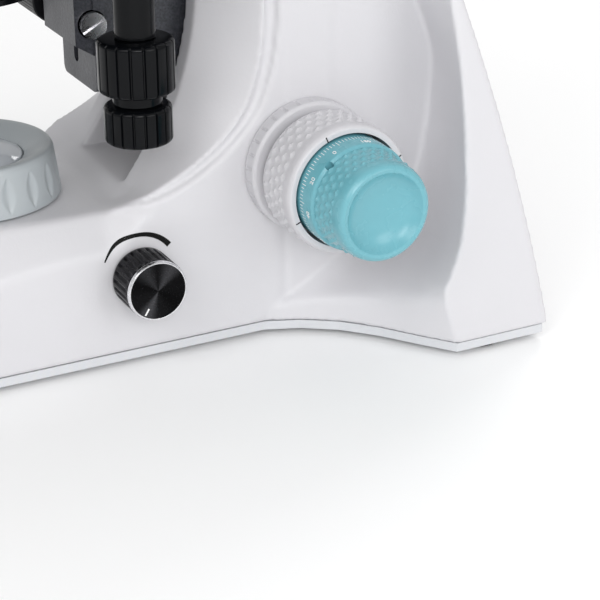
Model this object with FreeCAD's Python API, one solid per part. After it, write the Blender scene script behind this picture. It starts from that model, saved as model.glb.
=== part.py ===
import FreeCAD, Part
import math
import os

# Upright laboratory microscope, in millimetres, +Z up.
# Y values in this file are measured from the optical axis: the user sits towards -Y.
# X = 0 is the plane of symmetry. Z = 0 is the table.
# AXIS_Y moves every part so that the middle of the object's footprint is at Y = 0.

V = FreeCAD.Vector

AXIS_Y = -42.82

# Heights of the stand
FOOT_H = 2.5
PLATE_TOP = 5.8
PLATFORM_Z = 57.0
SEAM_Z = 232.0
CARRIER_Z = 256.0
CARRIER_TOP = 286.0

# Plan of the stand
BASE_HALF = 49.0
BASE_FRONT = -78.0
WING_HALF = 98.3
WING_REAR = 187.0

# Screws of the base plate (in bosses at the front), and feet
BOSS_SPOTS = [(s * 37.0, y) for s in (-1, 1) for y in (-45.0, 25.0)]
BOSS_R = 5.0
SCREW_SPOTS = BOSS_SPOTS + [(s * 91.0, 177.0) for s in (-1, 1)]
FOOT_SPOTS = [(s * x, y) for s in (-1, 1) for x, y in ((34.0, -62.0), (85.5, 163.0))]

# C-shaped throat of the arm
THROAT_Y = 78.0
THROAT_Z = 131.0
THROAT_R = 115.0
RIDGE_Y = 30.0
RIDGE_Z = 127.5
RIDGE_R = 65.0
RIDGE_STEP = 6.0
RIM_HALF = 29.0
CHANNEL_HALF = 21.0
CHANNEL_FLOOR = 59.5
CHANNEL_TOP = 196.0
CHANNEL_BACK = 96.0
BACK_WALL = 100.0
ARM_TOP_HALF = 42.0
WING_HOLLOW_TOP = 36.0

# Focus drive
FOCUS_Y = 110.9
FOCUS_Z = 66.0
COARSE_FACE_X = 82.0
COARSE_R = 23.2
COARSE_BACK_X = 60.5
RING_R = 24.4
RING_X0 = 49.3
RING_X1 = 56.0
FINE_POCKET_R = 20.4
FINE_R = 19.6
FINE_CAP_R = 17.25
FINE_TIP_X = 107.6
COARSE_SHAFT_R = 7.0
FINE_SHAFT_R = 4.0
FINE_SHAFT_X = 96.0
SET_SCREW_X = 90.8
SET_SCREW_ANGLE = 132.0
COARSE_GEAR_R = 9.8
LIFT_GEAR_R = 15.7
LIFT_PINION_R = 7.5
LIFT_Z = 92.0
FIT = 0.06
PRESS = 0.02
GAP = 0.3

# Brightness control
LIGHT_KNOB_Y = 45.5
LIGHT_KNOB_Z = 34.6
LIGHT_KNOB_R = 11.1
LIGHT_KNOB_X0 = 49.7
LIGHT_KNOB_X1 = 64.9

# Rear panel
PANEL_Z = 28.0
INLET_X = 26.0
ROCKER_Y = 175.0
ROCKER_TILT = 9.0

# Illuminator
FIELD_R = 33.4
FIELD_TOP_R = 31.1
FIELD_TOP = 75.4
LAMP_TUBE_R = 20.2
LAMP_BORE_R = 17.6

# Focus slide and stage
SLIDE_HALF = 16.5
SLIDE_FRONT = 45.0
SLIDE_BACK = 94.0
SLIDE_BOTTOM = 92.0
BRACKET_HALF = 15.7
BRACKET_FRONT = 38.2
BRACKET_BOTTOM = 110.0
SHELF_Z = 146.0
STAGE_BASE_Z = 152.0
STAGE_Z = 159.0
STAGE_TOP = 166.0
STAGE_HALF = 78.0
STAGE_FRONT = -72.0
STAGE_REAR = 66.0
FINGER_X = 41.5
FINGER_Y = 45.4
KNOB_X = 47.7
KNOB_Y = 47.7
Y_KNOB_R = 13.2
Y_KNOB_Z = (101.8, 120.3)
X_KNOB_R = 11.7
X_KNOB_Z = (84.0, 97.3)

# Condenser
CONDENSER_Z = 131.5
CONDENSER_R = 31.0
PINION_Y = 44.5
PINION_Z = 117.2

# Nosepiece
NOSE_TILT = 15.0
NOSE_REACH = 81.0
SHOULDER_Z = 227.0
TURRET_R = 34.0
OBJECTIVES = (("objective_4x", 28.0, 9.5), ("objective_10x", 34.5, 7.0),
              ("objective_40x", 44.3, 4.2), ("objective_100x", 44.8, 3.8))

# Head
HEAD_TILT = 60.0
HUB_Y = -26.0
HUB_Z = 318.8
HUB_R = 12.6
ARM_REACH = 37.0
ARM_OPEN = 20.0
TUBE_R = 15.2
TUBE_BORE_R = 11.65


def box(x0, x1, y0, y1, z0, z1):
    return Part.makeBox(x1 - x0, y1 - y0, z1 - z0, V(x0, y0, z0))


def rod_x(y, z, x0, x1, r):
    return Part.makeCylinder(r, x1 - x0, V(x0, y, z), V(1, 0, 0))


def rod_y(x, z, y0, y1, r):
    return Part.makeCylinder(r, y1 - y0, V(x, y0, z), V(0, 1, 0))


def rod_z(x, y, z0, z1, r):
    return Part.makeCylinder(r, z1 - z0, V(x, y, z0), V(0, 0, 1))


def tube_z(x, y, z0, z1, r_out, r_in):
    return rod_z(x, y, z0, z1, r_out).cut(rod_z(x, y, z0, z1, r_in))


def prism_z(points, z0, z1):
    """Straight prism on a plan outline of (x, y) points."""
    loop = [V(x, y, z0) for x, y in points]
    face = Part.Face(Part.makePolygon(loop + loop[:1]))
    return face.extrude(V(0, 0, z1 - z0))


def prism_x(points, x0, x1):
    """Straight prism on a side outline of (y, z) points."""
    loop = [V(x0, y, z) for y, z in points]
    face = Part.Face(Part.makePolygon(loop + loop[:1]))
    return face.extrude(V(x1 - x0, 0, 0))


def turned(profile, y=0.0, z=0.0, axis="z", x=0.0):
    """Solid of revolution of (radius, height) points about an axis line."""
    loop = [V(r, 0, h) for r, h in profile]
    face = Part.Face(Part.makePolygon(loop + loop[:1]))
    solid = face.revolve(V(0, 0, 0), V(0, 0, 1), 360)
    if axis == "x":
        solid.rotate(V(0, 0, 0), V(0, 1, 0), 90)
    solid.translate(V(x, y, z))
    return solid


def mirrored(shape):
    return shape.mirror(V(0, 0, 0), V(1, 0, 0))


def both_sides(shape):
    return Part.makeCompound([shape, mirrored(shape)])


def union(shapes):
    result = shapes[0]
    for shape in shapes[1:]:
        result = result.fuse(shape)
    return result.removeSplitter()


def rounded_plate(half, y0, y1, z0, z1, corner):
    plate = box(-half, half, y0, y1, z0, z1)
    upright = [e for e in plate.Edges if abs(e.Vertexes[0].Z - e.Vertexes[1].Z) > 0.5 * (z1 - z0)]
    return plate.makeFillet(corner, upright)


def toothed(r, teeth, depth, x0, x1, y, z):
    """Straight-cut wheel about an X axis, with short trapezoid teeth."""
    points = []
    for i in range(teeth):
        for turn, radius in ((0.0, r - depth), (0.3, r), (0.55, r), (0.85, r - depth)):
            angle = 2.0 * math.pi * (i + turn) / teeth
            points.append((y + radius * math.cos(angle), z + radius * math.sin(angle)))
    return prism_x(points, x0, x1)


def fluted(blank, count, r, groove, base, axis):
    """Cut evenly spaced round grooves along the side of a knob."""
    grooves = []
    for i in range(count):
        angle = 2.0 * math.pi * i / count
        a = r * math.cos(angle)
        b = r * math.sin(angle)
        if axis == "x":
            grooves.append(rod_x(base[1] + a, base[2] + b, base[0], base[3], groove))
        else:
            grooves.append(rod_z(base[0] + a, base[1] + b, base[2], base[3], groove))
    return blank.cut(Part.makeCompound(grooves))


def wing_half(z):
    """Half width of the rear of the stand at height z."""
    h = z - PLATE_TOP
    return WING_HALF - 0.16 * h - 0.0002 * h * h


def rear_y(z):
    """Rear face of the stand at height z."""
    return WING_REAR - 0.14 * z - 0.00066 * z * z


# Plan of the hollow beside the focus knob, from the arm out to the wing, at some heights.
COVE = (
    (PLATE_TOP, ((49.0, 93.4), (53.8, 106.0), (62.2, 118.3), (73.6, 128.8), (86.5, 138.0), (98.3, 147.0))),
    (12.0, ((49.0, 97.0), (54.5, 109.5), (62.5, 119.5), (73.4, 129.2), (85.5, 137.0), (97.8, 145.2))),
    (25.0, ((49.0, 118.0), (52.0, 126.0), (59.0, 134.0), (70.0, 139.0), (83.0, 141.5), (96.5, 142.5))),
    (45.0, ((49.0, 149.0), (50.6, 153.2), (57.0, 155.4), (68.0, 155.2), (79.5, 153.6), (92.0, 151.5))),
    (66.0, ((49.0, 157.0), (49.8, 160.3), (55.0, 161.4), (65.0, 160.2), (75.5, 157.6), (87.5, 154.5))),
    (95.0, ((49.0, 159.5), (49.8, 161.8), (54.0, 162.0), (62.0, 160.8), (71.0, 158.6), (81.0, 155.3))),
    (126.0, ((49.0, 150.0), (49.8, 152.6), (53.0, 153.8), (58.5, 154.0), (66.0, 153.8), (75.5, 153.3))),
)


def plan_loop(right, z):
    """Closed plan outline, symmetric about X = 0, from its right-hand points."""
    left = [(-x, y) for x, y in reversed(right) if x > 0.0]
    loop = [V(x, y, z) for x, y in right + left]
    return Part.makePolygon(loop + loop[:1])


def rear_flare():
    """Rear of the arm and the two wings, lofted through plan sections."""
    lower = []
    for z, cove in COVE:
        tip = wing_half(z)
        wing = list(cove[:-1]) + [(tip, cove[-1][1]), (tip, rear_y(z))]
        lower.append(plan_loop([(0.0, 92.0), (BASE_HALF, 92.0)] + wing, z))
    upper = []
    for z, arm_half in ((COVE[-1][0], BASE_HALF), (180.0, 46.5), (SEAM_Z, ARM_TOP_HALF)):
        back = rear_y(z)
        tip = wing_half(z)
        wing = [(arm_half, back - 12.0), (tip, back - 5.0), (tip - 2.0, back)]
        upper.append(plan_loop([(0.0, 90.0), (arm_half, 90.0)] + wing, z))
    return Part.makeLoft(lower, True, True).fuse(Part.makeLoft(upper, True, True))


def throat(half_x, arc_y, arc_z, arc_r, floor_z, z_top):
    """Closed side outline of the open throat, in the plane x = half_x."""
    start_y = arc_y + math.sqrt(arc_r ** 2 - (arc_z - floor_z) ** 2)
    mid_angle = 0.5 * math.asin((arc_z - floor_z) / arc_r)
    start = V(half_x, start_y, floor_z)
    middle = V(half_x, arc_y + arc_r * math.cos(mid_angle), arc_z - arc_r * math.sin(mid_angle))
    end = V(half_x, arc_y + arc_r, arc_z)
    top_corners = [V(half_x, end.y, z_top), V(half_x, BASE_FRONT, z_top)]
    corners = [end] + top_corners + [V(half_x, BASE_FRONT, floor_z), start]
    edges = [Part.Arc(start, middle, end).toShape()]
    for a, b in zip(corners[:-1], corners[1:]):
        edges.append(Part.LineSegment(a, b).toShape())
    return Part.Wire(edges)


def trim_sides(points, y0, y1):
    """Pair of long wedges, from (x, z) points of the right-hand one, that trims both flanks."""
    loop = [V(x, y0, z) for x, z in points]
    return both_sides(Part.Face(Part.makePolygon(loop + loop[:1])).extrude(V(0, y1 - y0, 0)))


def base_block():
    block = rounded_plate(BASE_HALF, BASE_FRONT, 118.0, PLATE_TOP, PLATFORM_Z, 20.0)
    side = [(BASE_FRONT - 1, PLATE_TOP - 1), (BASE_FRONT, 24.0), (-72.0, 34.0), (-46.0, PLATFORM_Z),
            (118.0, PLATFORM_Z), (118.0, PLATE_TOP - 1)]
    block = block.common(prism_x(side, -BASE_HALF, BASE_HALF))
    shoulder = [(37.5, PLATFORM_Z + 1), (50.0, PLATFORM_Z + 1), (50.0, 44.0), (48.9, 44.0)]
    return block.cut(trim_sides(shoulder, BASE_FRONT, 30.0))


def arm_block():
    arm = box(-BASE_HALF, BASE_HALF, 30.0, 118.5, PLATFORM_Z - 8.0, SEAM_Z)
    taper = [(BASE_HALF, 135.0), (60.0, 135.0), (60.0, SEAM_Z + 1), (ARM_TOP_HALF, SEAM_Z + 1)]
    arm = arm.cut(trim_sides(taper, 20.0, 119.0))
    top = SEAM_Z + 1
    rim_y = THROAT_Y - THROAT_R
    centre = throat(-60.0, rim_y, THROAT_Z, THROAT_R, PLATFORM_Z, top)
    arm = arm.cut(Part.Face(centre).extrude(V(120.0, 0, 0)))
    rim = throat(RIM_HALF, rim_y, THROAT_Z, THROAT_R, PLATFORM_Z + 5.5, top)
    ridge = throat(BASE_HALF, RIDGE_Y, RIDGE_Z, RIDGE_R + 0.5 * RIDGE_STEP, PLATFORM_Z + 5.5, top)
    return arm.cut(both_sides(Part.makeLoft([rim, ridge], True, True)))


def stand_hollows():
    """Everything that is cast or machined out of the stand."""
    base = prism_x([(-71.0, 0.0), (-71.0, 22.0), (-43.0, 50.0), (110.0, 50.0), (110.0, 0.0)], -43.0, 43.0)
    for x, y in BOSS_SPOTS:
        base = base.cut(rod_z(x, y, -1.0, PLATFORM_Z, BOSS_R))
    arm_low = prism_x([(BACK_WALL, 0.0), (170.0, 0.0), (165.0, 60.0), (154.0, 100.0), (138.0, 150.0),
                       (BACK_WALL, 150.0)], -42.0, 42.0)
    high_side = [(BACK_WALL, 140.0), (137.0, 150.0), (122.0, 190.0), (108.0, 224.0), (BACK_WALL, 224.0)]
    arm_high = prism_x(high_side, -32.0, 32.0)
    wing_plan = [(42.0, 150.0), (52.0, 159.0), (64.0, 161.0), (84.0, 161.0), (84.0, 174.0)]
    wings = Part.Face(plan_loop(wing_plan, 0.0))
    hollows = [
        base,
        arm_low,
        arm_high,
        wings.extrude(V(0, 0, WING_HOLLOW_TOP)),
        box(-CHANNEL_HALF, CHANNEL_HALF, 30.0, CHANNEL_BACK, CHANNEL_FLOOR, CHANNEL_TOP),
        box(-14.0, 14.0, CHANNEL_BACK - 1, BACK_WALL + 1, 62.0, 135.0),
        rod_z(0, 0, 40.0, 60.0, LAMP_TUBE_R + 0.1),
        rod_x(FOCUS_Y, FOCUS_Z, -50.0, 50.0, 12.0),
        rod_x(LIGHT_KNOB_Y, LIGHT_KNOB_Z, 40.0, 50.0, 3.4),
        box(-46.0, 46.0, 178.0, 190.0, 14.0, 42.0),
        rod_y(INLET_X, PANEL_Z, 170.0, 180.0, 6.1),
        box(-37.1, -14.9, 170.0, 180.0, 20.4, 35.6),
    ]
    for x, y in SCREW_SPOTS:
        hollows.append(rod_z(x, y, 5.0, 14.0, 2.0))
    return hollows


def stand_casting():
    body = union([base_block(), arm_block(), rear_flare()])
    for hollow in stand_hollows():
        body = body.cut(hollow)
    return body.removeSplitter()


def base_plate():
    inset = 1.0
    front = [(BASE_HALF - inset - 16.0, BASE_FRONT + inset), (BASE_HALF - inset, BASE_FRONT + 17.0)]
    cove = [(x - inset, y + 0.4) for x, y in COVE[0][1]]
    right = front + cove + [(WING_HALF - inset, WING_REAR - 3.0)]
    left = [(-x, y) for x, y in reversed(right)]
    plate = prism_z(right + left, FOOT_H, PLATE_TOP)
    for x, y in SCREW_SPOTS:
        plate = plate.cut(rod_z(x, y, FOOT_H - 1, FOOT_H + 2.2, 3.7))
        plate = plate.cut(rod_z(x, y, FOOT_H, PLATE_TOP + 1, 2.0))
    return plate


def base_screws():
    screws = []
    for x, y in SCREW_SPOTS:
        head = rod_z(x, y, FOOT_H, FOOT_H + 2.1, 3.6)
        socket = rod_z(x, y, FOOT_H - 1, FOOT_H + 1.2, 1.6)
        screws.append(head.cut(socket).fuse(rod_z(x, y, FOOT_H + 2.1, 13.0, 1.9)).removeSplitter())
    return Part.makeCompound(screws)


def rubber_feet():
    profile = [(0.0, 0.0), (8.2, 0.0), (9.0, 0.8), (9.0, FOOT_H), (0.0, FOOT_H)]
    feet = []
    for x, y in FOOT_SPOTS:
        feet.append(turned(profile, y=y, x=x))
    return Part.makeCompound(feet)


def power_inlet():
    body = rod_y(INLET_X, PANEL_Z, 162.0, 178.0, 6.0).fuse(rod_y(INLET_X, PANEL_Z, 178.0, 179.6, 8.0))
    body = body.cut(rod_y(INLET_X, PANEL_Z, 168.0, 181.0, 2.9))
    return body.fuse(rod_y(INLET_X, PANEL_Z, 167.0, 177.0, 1.0)).removeSplitter()


def switch_frame():
    body = box(-37.0, -15.0, 163.0, 178.0, 20.5, 35.5).fuse(box(-38.5, -13.5, 178.0, 179.8, 19.0, 37.0))
    return body.cut(box(-35.0, -17.0, 170.0, 181.0, 22.5, 33.5)).removeSplitter()


def rocker_switch():
    """Rocker, tilted to its off side about an X axis through ROCKER_Y."""
    outline = [(172.5, 28.0), (176.0, 24.0), (181.6, 24.0), (180.2, 28.0), (181.6, 32.0), (176.0, 32.0)]
    rocker = prism_x(outline, -34.6, -17.4)
    rocker.rotate(V(0, ROCKER_Y, PANEL_Z), V(1, 0, 0), -ROCKER_TILT)
    return rocker


def lamp_housing():
    tube = tube_z(0, 0, 36.0, 70.0, LAMP_TUBE_R, LAMP_BORE_R)
    for z in (39.0, 56.0, 61.0):
        tube = tube.fuse(tube_z(0, 0, z, z + 1.0, LAMP_BORE_R + 0.5, 15.5))
    return tube.removeSplitter()


def lens(r, z0, edge, crown):
    """Plano-convex lens, flat side down, with a spherical crown."""
    sphere_r = (r * r + crown * crown) / (2.0 * crown)
    ball = Part.makeSphere(sphere_r, V(0, 0, z0 + edge + crown - sphere_r))
    return rod_z(0, 0, z0, z0 + edge + crown, r).common(ball)


def field_iris():
    return tube_z(0, 0, 57.1, 58.6, 17.5, 9.0)


def led_board():
    board = rod_z(0, 0, 31.0, 32.6, 15.0)
    return board.fuse(box(-3.5, 3.5, -3.5, 3.5, 32.6, 34.4)).removeSplitter()


def heat_sink():
    sink = box(-22.0, 22.0, -22.0, 22.0, 24.0, 31.0)
    for i in range(8):
        x = -22.0 + i * 41.5 / 7.0
        sink = sink.fuse(box(x, x + 2.5, -22.0, 22.0, PLATE_TOP, 24.0))
    return sink.removeSplitter()


def driver_board():
    board = box(-36.0, 36.0, 58.0, 94.0, 11.0, 12.6)
    parts = [box(-30.0, -12.0, 64.0, 80.0, 12.6, 24.0), box(4.0, 14.0, 62.0, 72.0, 12.6, 17.0)]
    for x in (20.0, 29.0):
        parts.append(rod_z(x, 70.0, 12.6, 25.0, 4.0))
    for x in (-32.0, 32.0):
        for y in (62.0, 90.0):
            parts.append(rod_z(x, y, PLATE_TOP, 11.0, 2.5))
    return union([board] + parts)


def field_diaphragm_ring():
    top = FIELD_TOP
    profile = [(20.6, PLATFORM_Z + GAP), (FIELD_R - 0.8, PLATFORM_Z + GAP), (FIELD_R, PLATFORM_Z + 1.2),
               (FIELD_TOP_R + 0.4, top - 2.6), (FIELD_TOP_R - 0.6, top - 0.7), (FIELD_TOP_R - 2.6, top),
               (FIELD_TOP_R - 4.6, top - 0.4), (24.0, top - 2.4), (20.6, top - 4.2)]
    ring = turned(profile)
    scallops = []
    for i in range(16):
        angle = 2.0 * math.pi * i / 16
        scallops.append(rod_z(38.9 * math.cos(angle), 38.9 * math.sin(angle), 60.0, 71.0, 6.6))
    return ring.cut(Part.makeCompound(scallops))


def potentiometer():
    body = rod_x(LIGHT_KNOB_Y, LIGHT_KNOB_Z, 32.0, 42.9, 8.5)
    body = body.fuse(rod_x(LIGHT_KNOB_Y, LIGHT_KNOB_Z, 42.9, 49.0, 3.35)).removeSplitter()
    return body.cut(rod_x(LIGHT_KNOB_Y, LIGHT_KNOB_Z, 36.0, 50.0, 2.6))


def brightness_knob():
    y, z = LIGHT_KNOB_Y, LIGHT_KNOB_Z
    x0, x1, r = LIGHT_KNOB_X0, LIGHT_KNOB_X1, LIGHT_KNOB_R
    profile = [(0.0, x0), (r - 0.6, x0), (r, x0 + 0.6), (r, x1 - 1.0), (r - 1.0, x1), (0.0, x1)]
    knob = turned(profile, y=y, z=z, axis="x")
    knob = fluted(knob, 30, r + 0.25, 0.7, (x0 + 2.0, y, z, x1 - 2.2), "x")
    shaft = rod_x(y, z, 37.0, x0, 2.5)
    return knob.fuse(shaft).removeSplitter()


def focus_bushes():
    right = rod_x(FOCUS_Y, FOCUS_Z, 42.0, 57.0, 11.9)
    right = right.cut(rod_x(FOCUS_Y, FOCUS_Z, 41.0, 58.0, COARSE_SHAFT_R + FIT))
    return both_sides(right)


def tension_ring():
    bore = 12.3
    edge = [(RING_R, RING_X0), (RING_R, RING_X1 - 1.2), (RING_R - 0.8, RING_X1)]
    profile = [(bore, RING_X0)] + edge + [(bore, RING_X1)]
    ring = turned(profile, y=FOCUS_Y, z=FOCUS_Z, axis="x")
    return fluted(ring, 24, RING_R + 0.5, 1.2, (RING_X0 - 1, FOCUS_Y, FOCUS_Z, RING_X1 - 1.6), "x")


def coarse_shaft():
    shaft = rod_x(FOCUS_Y, FOCUS_Z, -69.0, 69.0, COARSE_SHAFT_R)
    shaft = shaft.fuse(toothed(COARSE_GEAR_R, 24, 1.1, -12.0, -6.0, FOCUS_Y, FOCUS_Z)).removeSplitter()
    return shaft.cut(rod_x(FOCUS_Y, FOCUS_Z, -70.0, 70.0, FINE_SHAFT_R + FIT))


def coarse_knob():
    r = COARSE_R
    face = COARSE_FACE_X
    profile = [(COARSE_SHAFT_R + PRESS, 57.4), (20.5, 57.4), (20.5, COARSE_BACK_X), (r + 0.2, COARSE_BACK_X),
               (r + 0.2, face - 5.0), (r, face - 4.4), (r - 0.2, face - 0.8), (r - 0.9, face),
               (FINE_POCKET_R, face), (FINE_POCKET_R, 69.0), (COARSE_SHAFT_R + PRESS, 69.0)]
    return turned(profile, y=FOCUS_Y, z=FOCUS_Z, axis="x")


def fine_shaft():
    return rod_x(FOCUS_Y, FOCUS_Z, -FINE_SHAFT_X, FINE_SHAFT_X, FINE_SHAFT_R)


def set_screw_rod(r0, r1, radius):
    """Rod along the set screw of the right fine knob, from r0 to r1 off the shaft's axis."""
    angle = math.radians(SET_SCREW_ANGLE)
    out = V(0, math.cos(angle), math.sin(angle))
    return Part.makeCylinder(radius, r1 - r0, V(SET_SCREW_X, FOCUS_Y, FOCUS_Z) + out * r0, out)


def fine_knob():
    tip = FINE_TIP_X
    profile = [(FINE_SHAFT_R + PRESS, 69.6), (FINE_R, 69.6), (FINE_R, 87.0), (18.9, 88.0), (18.3, 97.0),
               (FINE_CAP_R + 0.2, 99.0), (FINE_CAP_R, tip - 2.4), (16.6, tip - 1.0), (15.2, tip - 0.1),
               (14.0, tip),
               (12.6, tip - 0.5), (9.0, tip - 2.0), (4.5, tip - 3.0), (0.0, tip - 3.3), (0.0, FINE_SHAFT_X),
               (FINE_SHAFT_R + PRESS, FINE_SHAFT_X)]
    knob = turned(profile, y=FOCUS_Y, z=FOCUS_Z, axis="x")
    return knob.cut(set_screw_rod(3.0, 22.0, 1.6))


def fine_set_screws():
    return both_sides(set_screw_rod(FINE_SHAFT_R + 0.05, 16.5, 1.5))


def lift_gear():
    y, z = FOCUS_Y, LIFT_Z
    wheel = toothed(LIFT_GEAR_R, 38, 1.1, -12.0, -6.0, y, z)
    pinion = toothed(LIFT_PINION_R, 18, 1.1, -6.0, 12.0, y, z)
    return union([rod_x(y, z, -27.0, 27.0, 3.0), wheel, pinion])


def gear_frame():
    side = box(22.0, 26.0, BACK_WALL, 124.0, 80.0, 104.0)
    side = side.fuse(box(26.0, 36.0, BACK_WALL, 104.0, 80.0, 104.0)).removeSplitter()
    side = side.cut(rod_x(FOCUS_Y, LIFT_Z, 20.0, 28.0, 3.0 + FIT))
    return both_sides(side)


def guide_rails():
    return both_sides(box(18.8, CHANNEL_HALF, 82.0, 92.0, 74.0, 186.0))


def fine_carriage():
    plates = both_sides(box(16.9, 18.5, 80.0, 94.0, 77.0, 182.0))
    bridge = box(-18.5, 18.5, 80.0, 94.0, 178.0, 182.0)
    return bridge.fuse(plates).removeSplitter()


def focus_slide():
    front, half = SLIDE_FRONT, SLIDE_HALF
    slide = box(-half, half, front, SLIDE_BACK, SLIDE_BOTTOM, SHELF_Z)
    low_edges = [e for e in slide.Edges if e.BoundBox.ZMax < SLIDE_BOTTOM + 1]
    corners = [e for e in low_edges if e.BoundBox.YLength > 40]
    slide = slide.makeFillet(3.0, corners)
    slide = slide.cut(rod_x(PINION_Y, PINION_Z, -half - 1, half + 1, 5.2))
    slot_r = 2.1
    slot = union([box(-slot_r, slot_r, front - 1, front + 4.0, 101.0, 106.0),
                  rod_y(0.0, 101.0, front - 1, front + 4.0, slot_r)])
    slot.translate(V(-3.0, 0, 0))
    return slide.cut(slot)


def focus_rack():
    bar = box(2.0, 12.0, SLIDE_BACK, 101.6, 72.0, 116.0)
    teeth = []
    for i in range(17):
        z = 72.8 + 2.6 * i
        teeth.append(prism_x([(101.6, z), (103.0, z + 0.5), (103.0, z + 1.1), (101.6, z + 1.6)], 2.0, 12.0))
    return union([bar] + teeth)


def stage_bracket():
    half = BRACKET_HALF
    outline = [(BRACKET_FRONT, BRACKET_BOTTOM), (SLIDE_FRONT, 105.7), (SLIDE_FRONT, STAGE_BASE_Z),
               (BRACKET_FRONT, STAGE_BASE_Z)]
    plate = prism_x(outline, -half, half)
    shelf = box(-34.0, 34.0, SLIDE_FRONT, 72.0, SHELF_Z, STAGE_BASE_Z)
    bracket = union([plate, shelf, box(-34.0, 34.0, BRACKET_FRONT, SLIDE_FRONT, SHELF_Z, STAGE_BASE_Z)])
    bracket = bracket.cut(rod_x(PINION_Y, PINION_Z, -half - 1, half + 1, 5.2))
    bracket = bracket.cut(box(-4.2, 4.2, 39.0, 40.9, 100.0, STAGE_BASE_Z + 1))
    return bracket.cut(box(-4.2, 4.2, 37.0, 39.1, 129.5, STAGE_BASE_Z + 1))


def condenser_pinion():
    shaft = rod_x(PINION_Y, PINION_Z, -24.0, 16.0, 3.0)
    head = rod_x(PINION_Y, PINION_Z, 15.9, 18.4, 4.7)
    head = head.cut(box(17.4, 19.0, PINION_Y - 6, PINION_Y + 6, PINION_Z - 0.5, PINION_Z + 0.5))
    head.rotate(V(0, PINION_Y, PINION_Z), V(1, 0, 0), 28)
    return union([shaft, head, toothed(3.7, 12, 0.7, -4.0, 4.0, PINION_Y, PINION_Z)])


def condenser_knob():
    profile = [(3.02, -21.0), (8.0, -21.0), (8.5, -21.6), (8.5, -45.4), (7.9, -46.0), (0.0, -46.0),
               (0.0, -24.5), (3.02, -24.5)]
    knob = turned([(r, x) for r, x in profile], y=PINION_Y, z=PINION_Z, axis="x")
    return fluted(knob, 36, 8.75, 0.5, (-45.0, PINION_Y, PINION_Z, -22.0), "x")


def condenser_holder():
    ring = tube_z(0, 0, 138.2, 146.0, 27.0, 19.0)
    arm = box(-13.0, 13.0, 22.0, BRACKET_FRONT - GAP, 138.2, 146.0).cut(rod_z(0, 0, 130.0, 150.0, 19.0))
    tab = box(-3.9, 3.9, 37.0, 40.5, 139.0, 146.0)
    rack = box(-3.9, 3.9, 39.3, 40.5, 112.0, 146.0)
    return union([ring, arm, tab, rack])


def condenser_body():
    disc = rod_z(0, 0, CONDENSER_Z, 138.2, CONDENSER_R).cut(tube_z(0, 0, 133.4, 135.8, 40.0, 20.5))
    cone = [(18.95, 150.0), (17.0, 152.0), (12.5, 157.6)]
    neck = turned([(0.0, 138.2), (18.95, 138.2)] + cone + [(0.0, 157.6)])
    body = disc.fuse(neck).removeSplitter()
    return body.cut(rod_z(0, 0, 130.0, 160.0, 10.2))


def condenser_lens():
    return lens(10.15, 150.0, 6.0, 1.9)


def aperture_lever():
    ring = tube_z(0, 0, 133.7, 135.5, 30.4, 20.8)
    handle = box(-2.4, 2.4, -46.0, -29.0, 133.7, 135.5)
    knob = rod_z(0, -46.0, 133.0, 136.2, 3.6)
    lever = union([ring, handle, knob])
    lever.rotate(V(0, 0, 0), V(0, 0, 1), -35)
    return lever


def stage_base():
    plate = rounded_plate(38.0, -58.0, 66.0, STAGE_BASE_Z, 157.0, 5.0)
    rail = box(30.0, 36.0, -56.0, 64.0, 157.0, 158.7)
    rails = union([plate, rail, mirrored(rail)])
    return rails.cut(rod_z(0, 0, 150.0, 160.0, 21.0))


def stage_top():
    plate = rounded_plate(STAGE_HALF, STAGE_FRONT, STAGE_REAR, STAGE_Z, STAGE_TOP, 10.0)
    plate = plate.cut(rounded_plate(16.0, -24.0, 52.0 - 2.0, 158.0, 168.0, 15.5))
    plate = plate.cut(rod_z(KNOB_X, KNOB_Y, 158.0, 163.0, 4.6))
    guide = prism_x([(52.0, STAGE_TOP), (60.0, STAGE_TOP), (61.5, 170.0), (50.5, 170.0)], -74.0, 74.0)
    return union([plate, guide])


def stage_knob_tube():
    return tube_z(KNOB_X, KNOB_Y, 120.8, STAGE_Z, 7.0, 4.4)


def coaxial_knob(z_range, r, count):
    z0, z1 = z_range
    lower = [(3.5, z0), (r - 1.4, z0), (r - 0.3, z0 + 0.6), (r, z0 + 1.6)]
    upper = [(r, z1 - 1.6), (r - 0.4, z1 - 0.5), (r - 1.6, z1), (3.5, z1)]
    profile = lower + upper
    knob = turned(profile, x=KNOB_X, y=KNOB_Y)
    grooves = []
    for i in range(count):
        angle = 2.0 * math.pi * i / count
        groove = box(r - 0.7, r + 1.0, -0.55, 0.55, z0 - 1.0, z1 + 1.0)
        groove.rotate(V(0, 0, 0), V(0, 0, 1), math.degrees(angle))
        groove.translate(V(KNOB_X, KNOB_Y, 0))
        grooves.append(groove)
    return knob.cut(Part.makeCompound(grooves))


def stage_y_knob():
    knob = coaxial_knob(Y_KNOB_Z, Y_KNOB_R, 20)
    neck = tube_z(KNOB_X, KNOB_Y, 97.7, Y_KNOB_Z[0], 8.5, 3.5)
    sleeve = tube_z(KNOB_X, KNOB_Y, Y_KNOB_Z[1], 156.0, 4.3, 3.5)
    return union([knob, neck, sleeve])


def stage_x_knob():
    knob = coaxial_knob(X_KNOB_Z, X_KNOB_R, 16)
    cap = rod_z(KNOB_X, KNOB_Y, X_KNOB_Z[0], X_KNOB_Z[1], 3.5)
    return union([knob, cap, rod_z(KNOB_X, KNOB_Y, X_KNOB_Z[1], 162.0, 3.4)])


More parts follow.
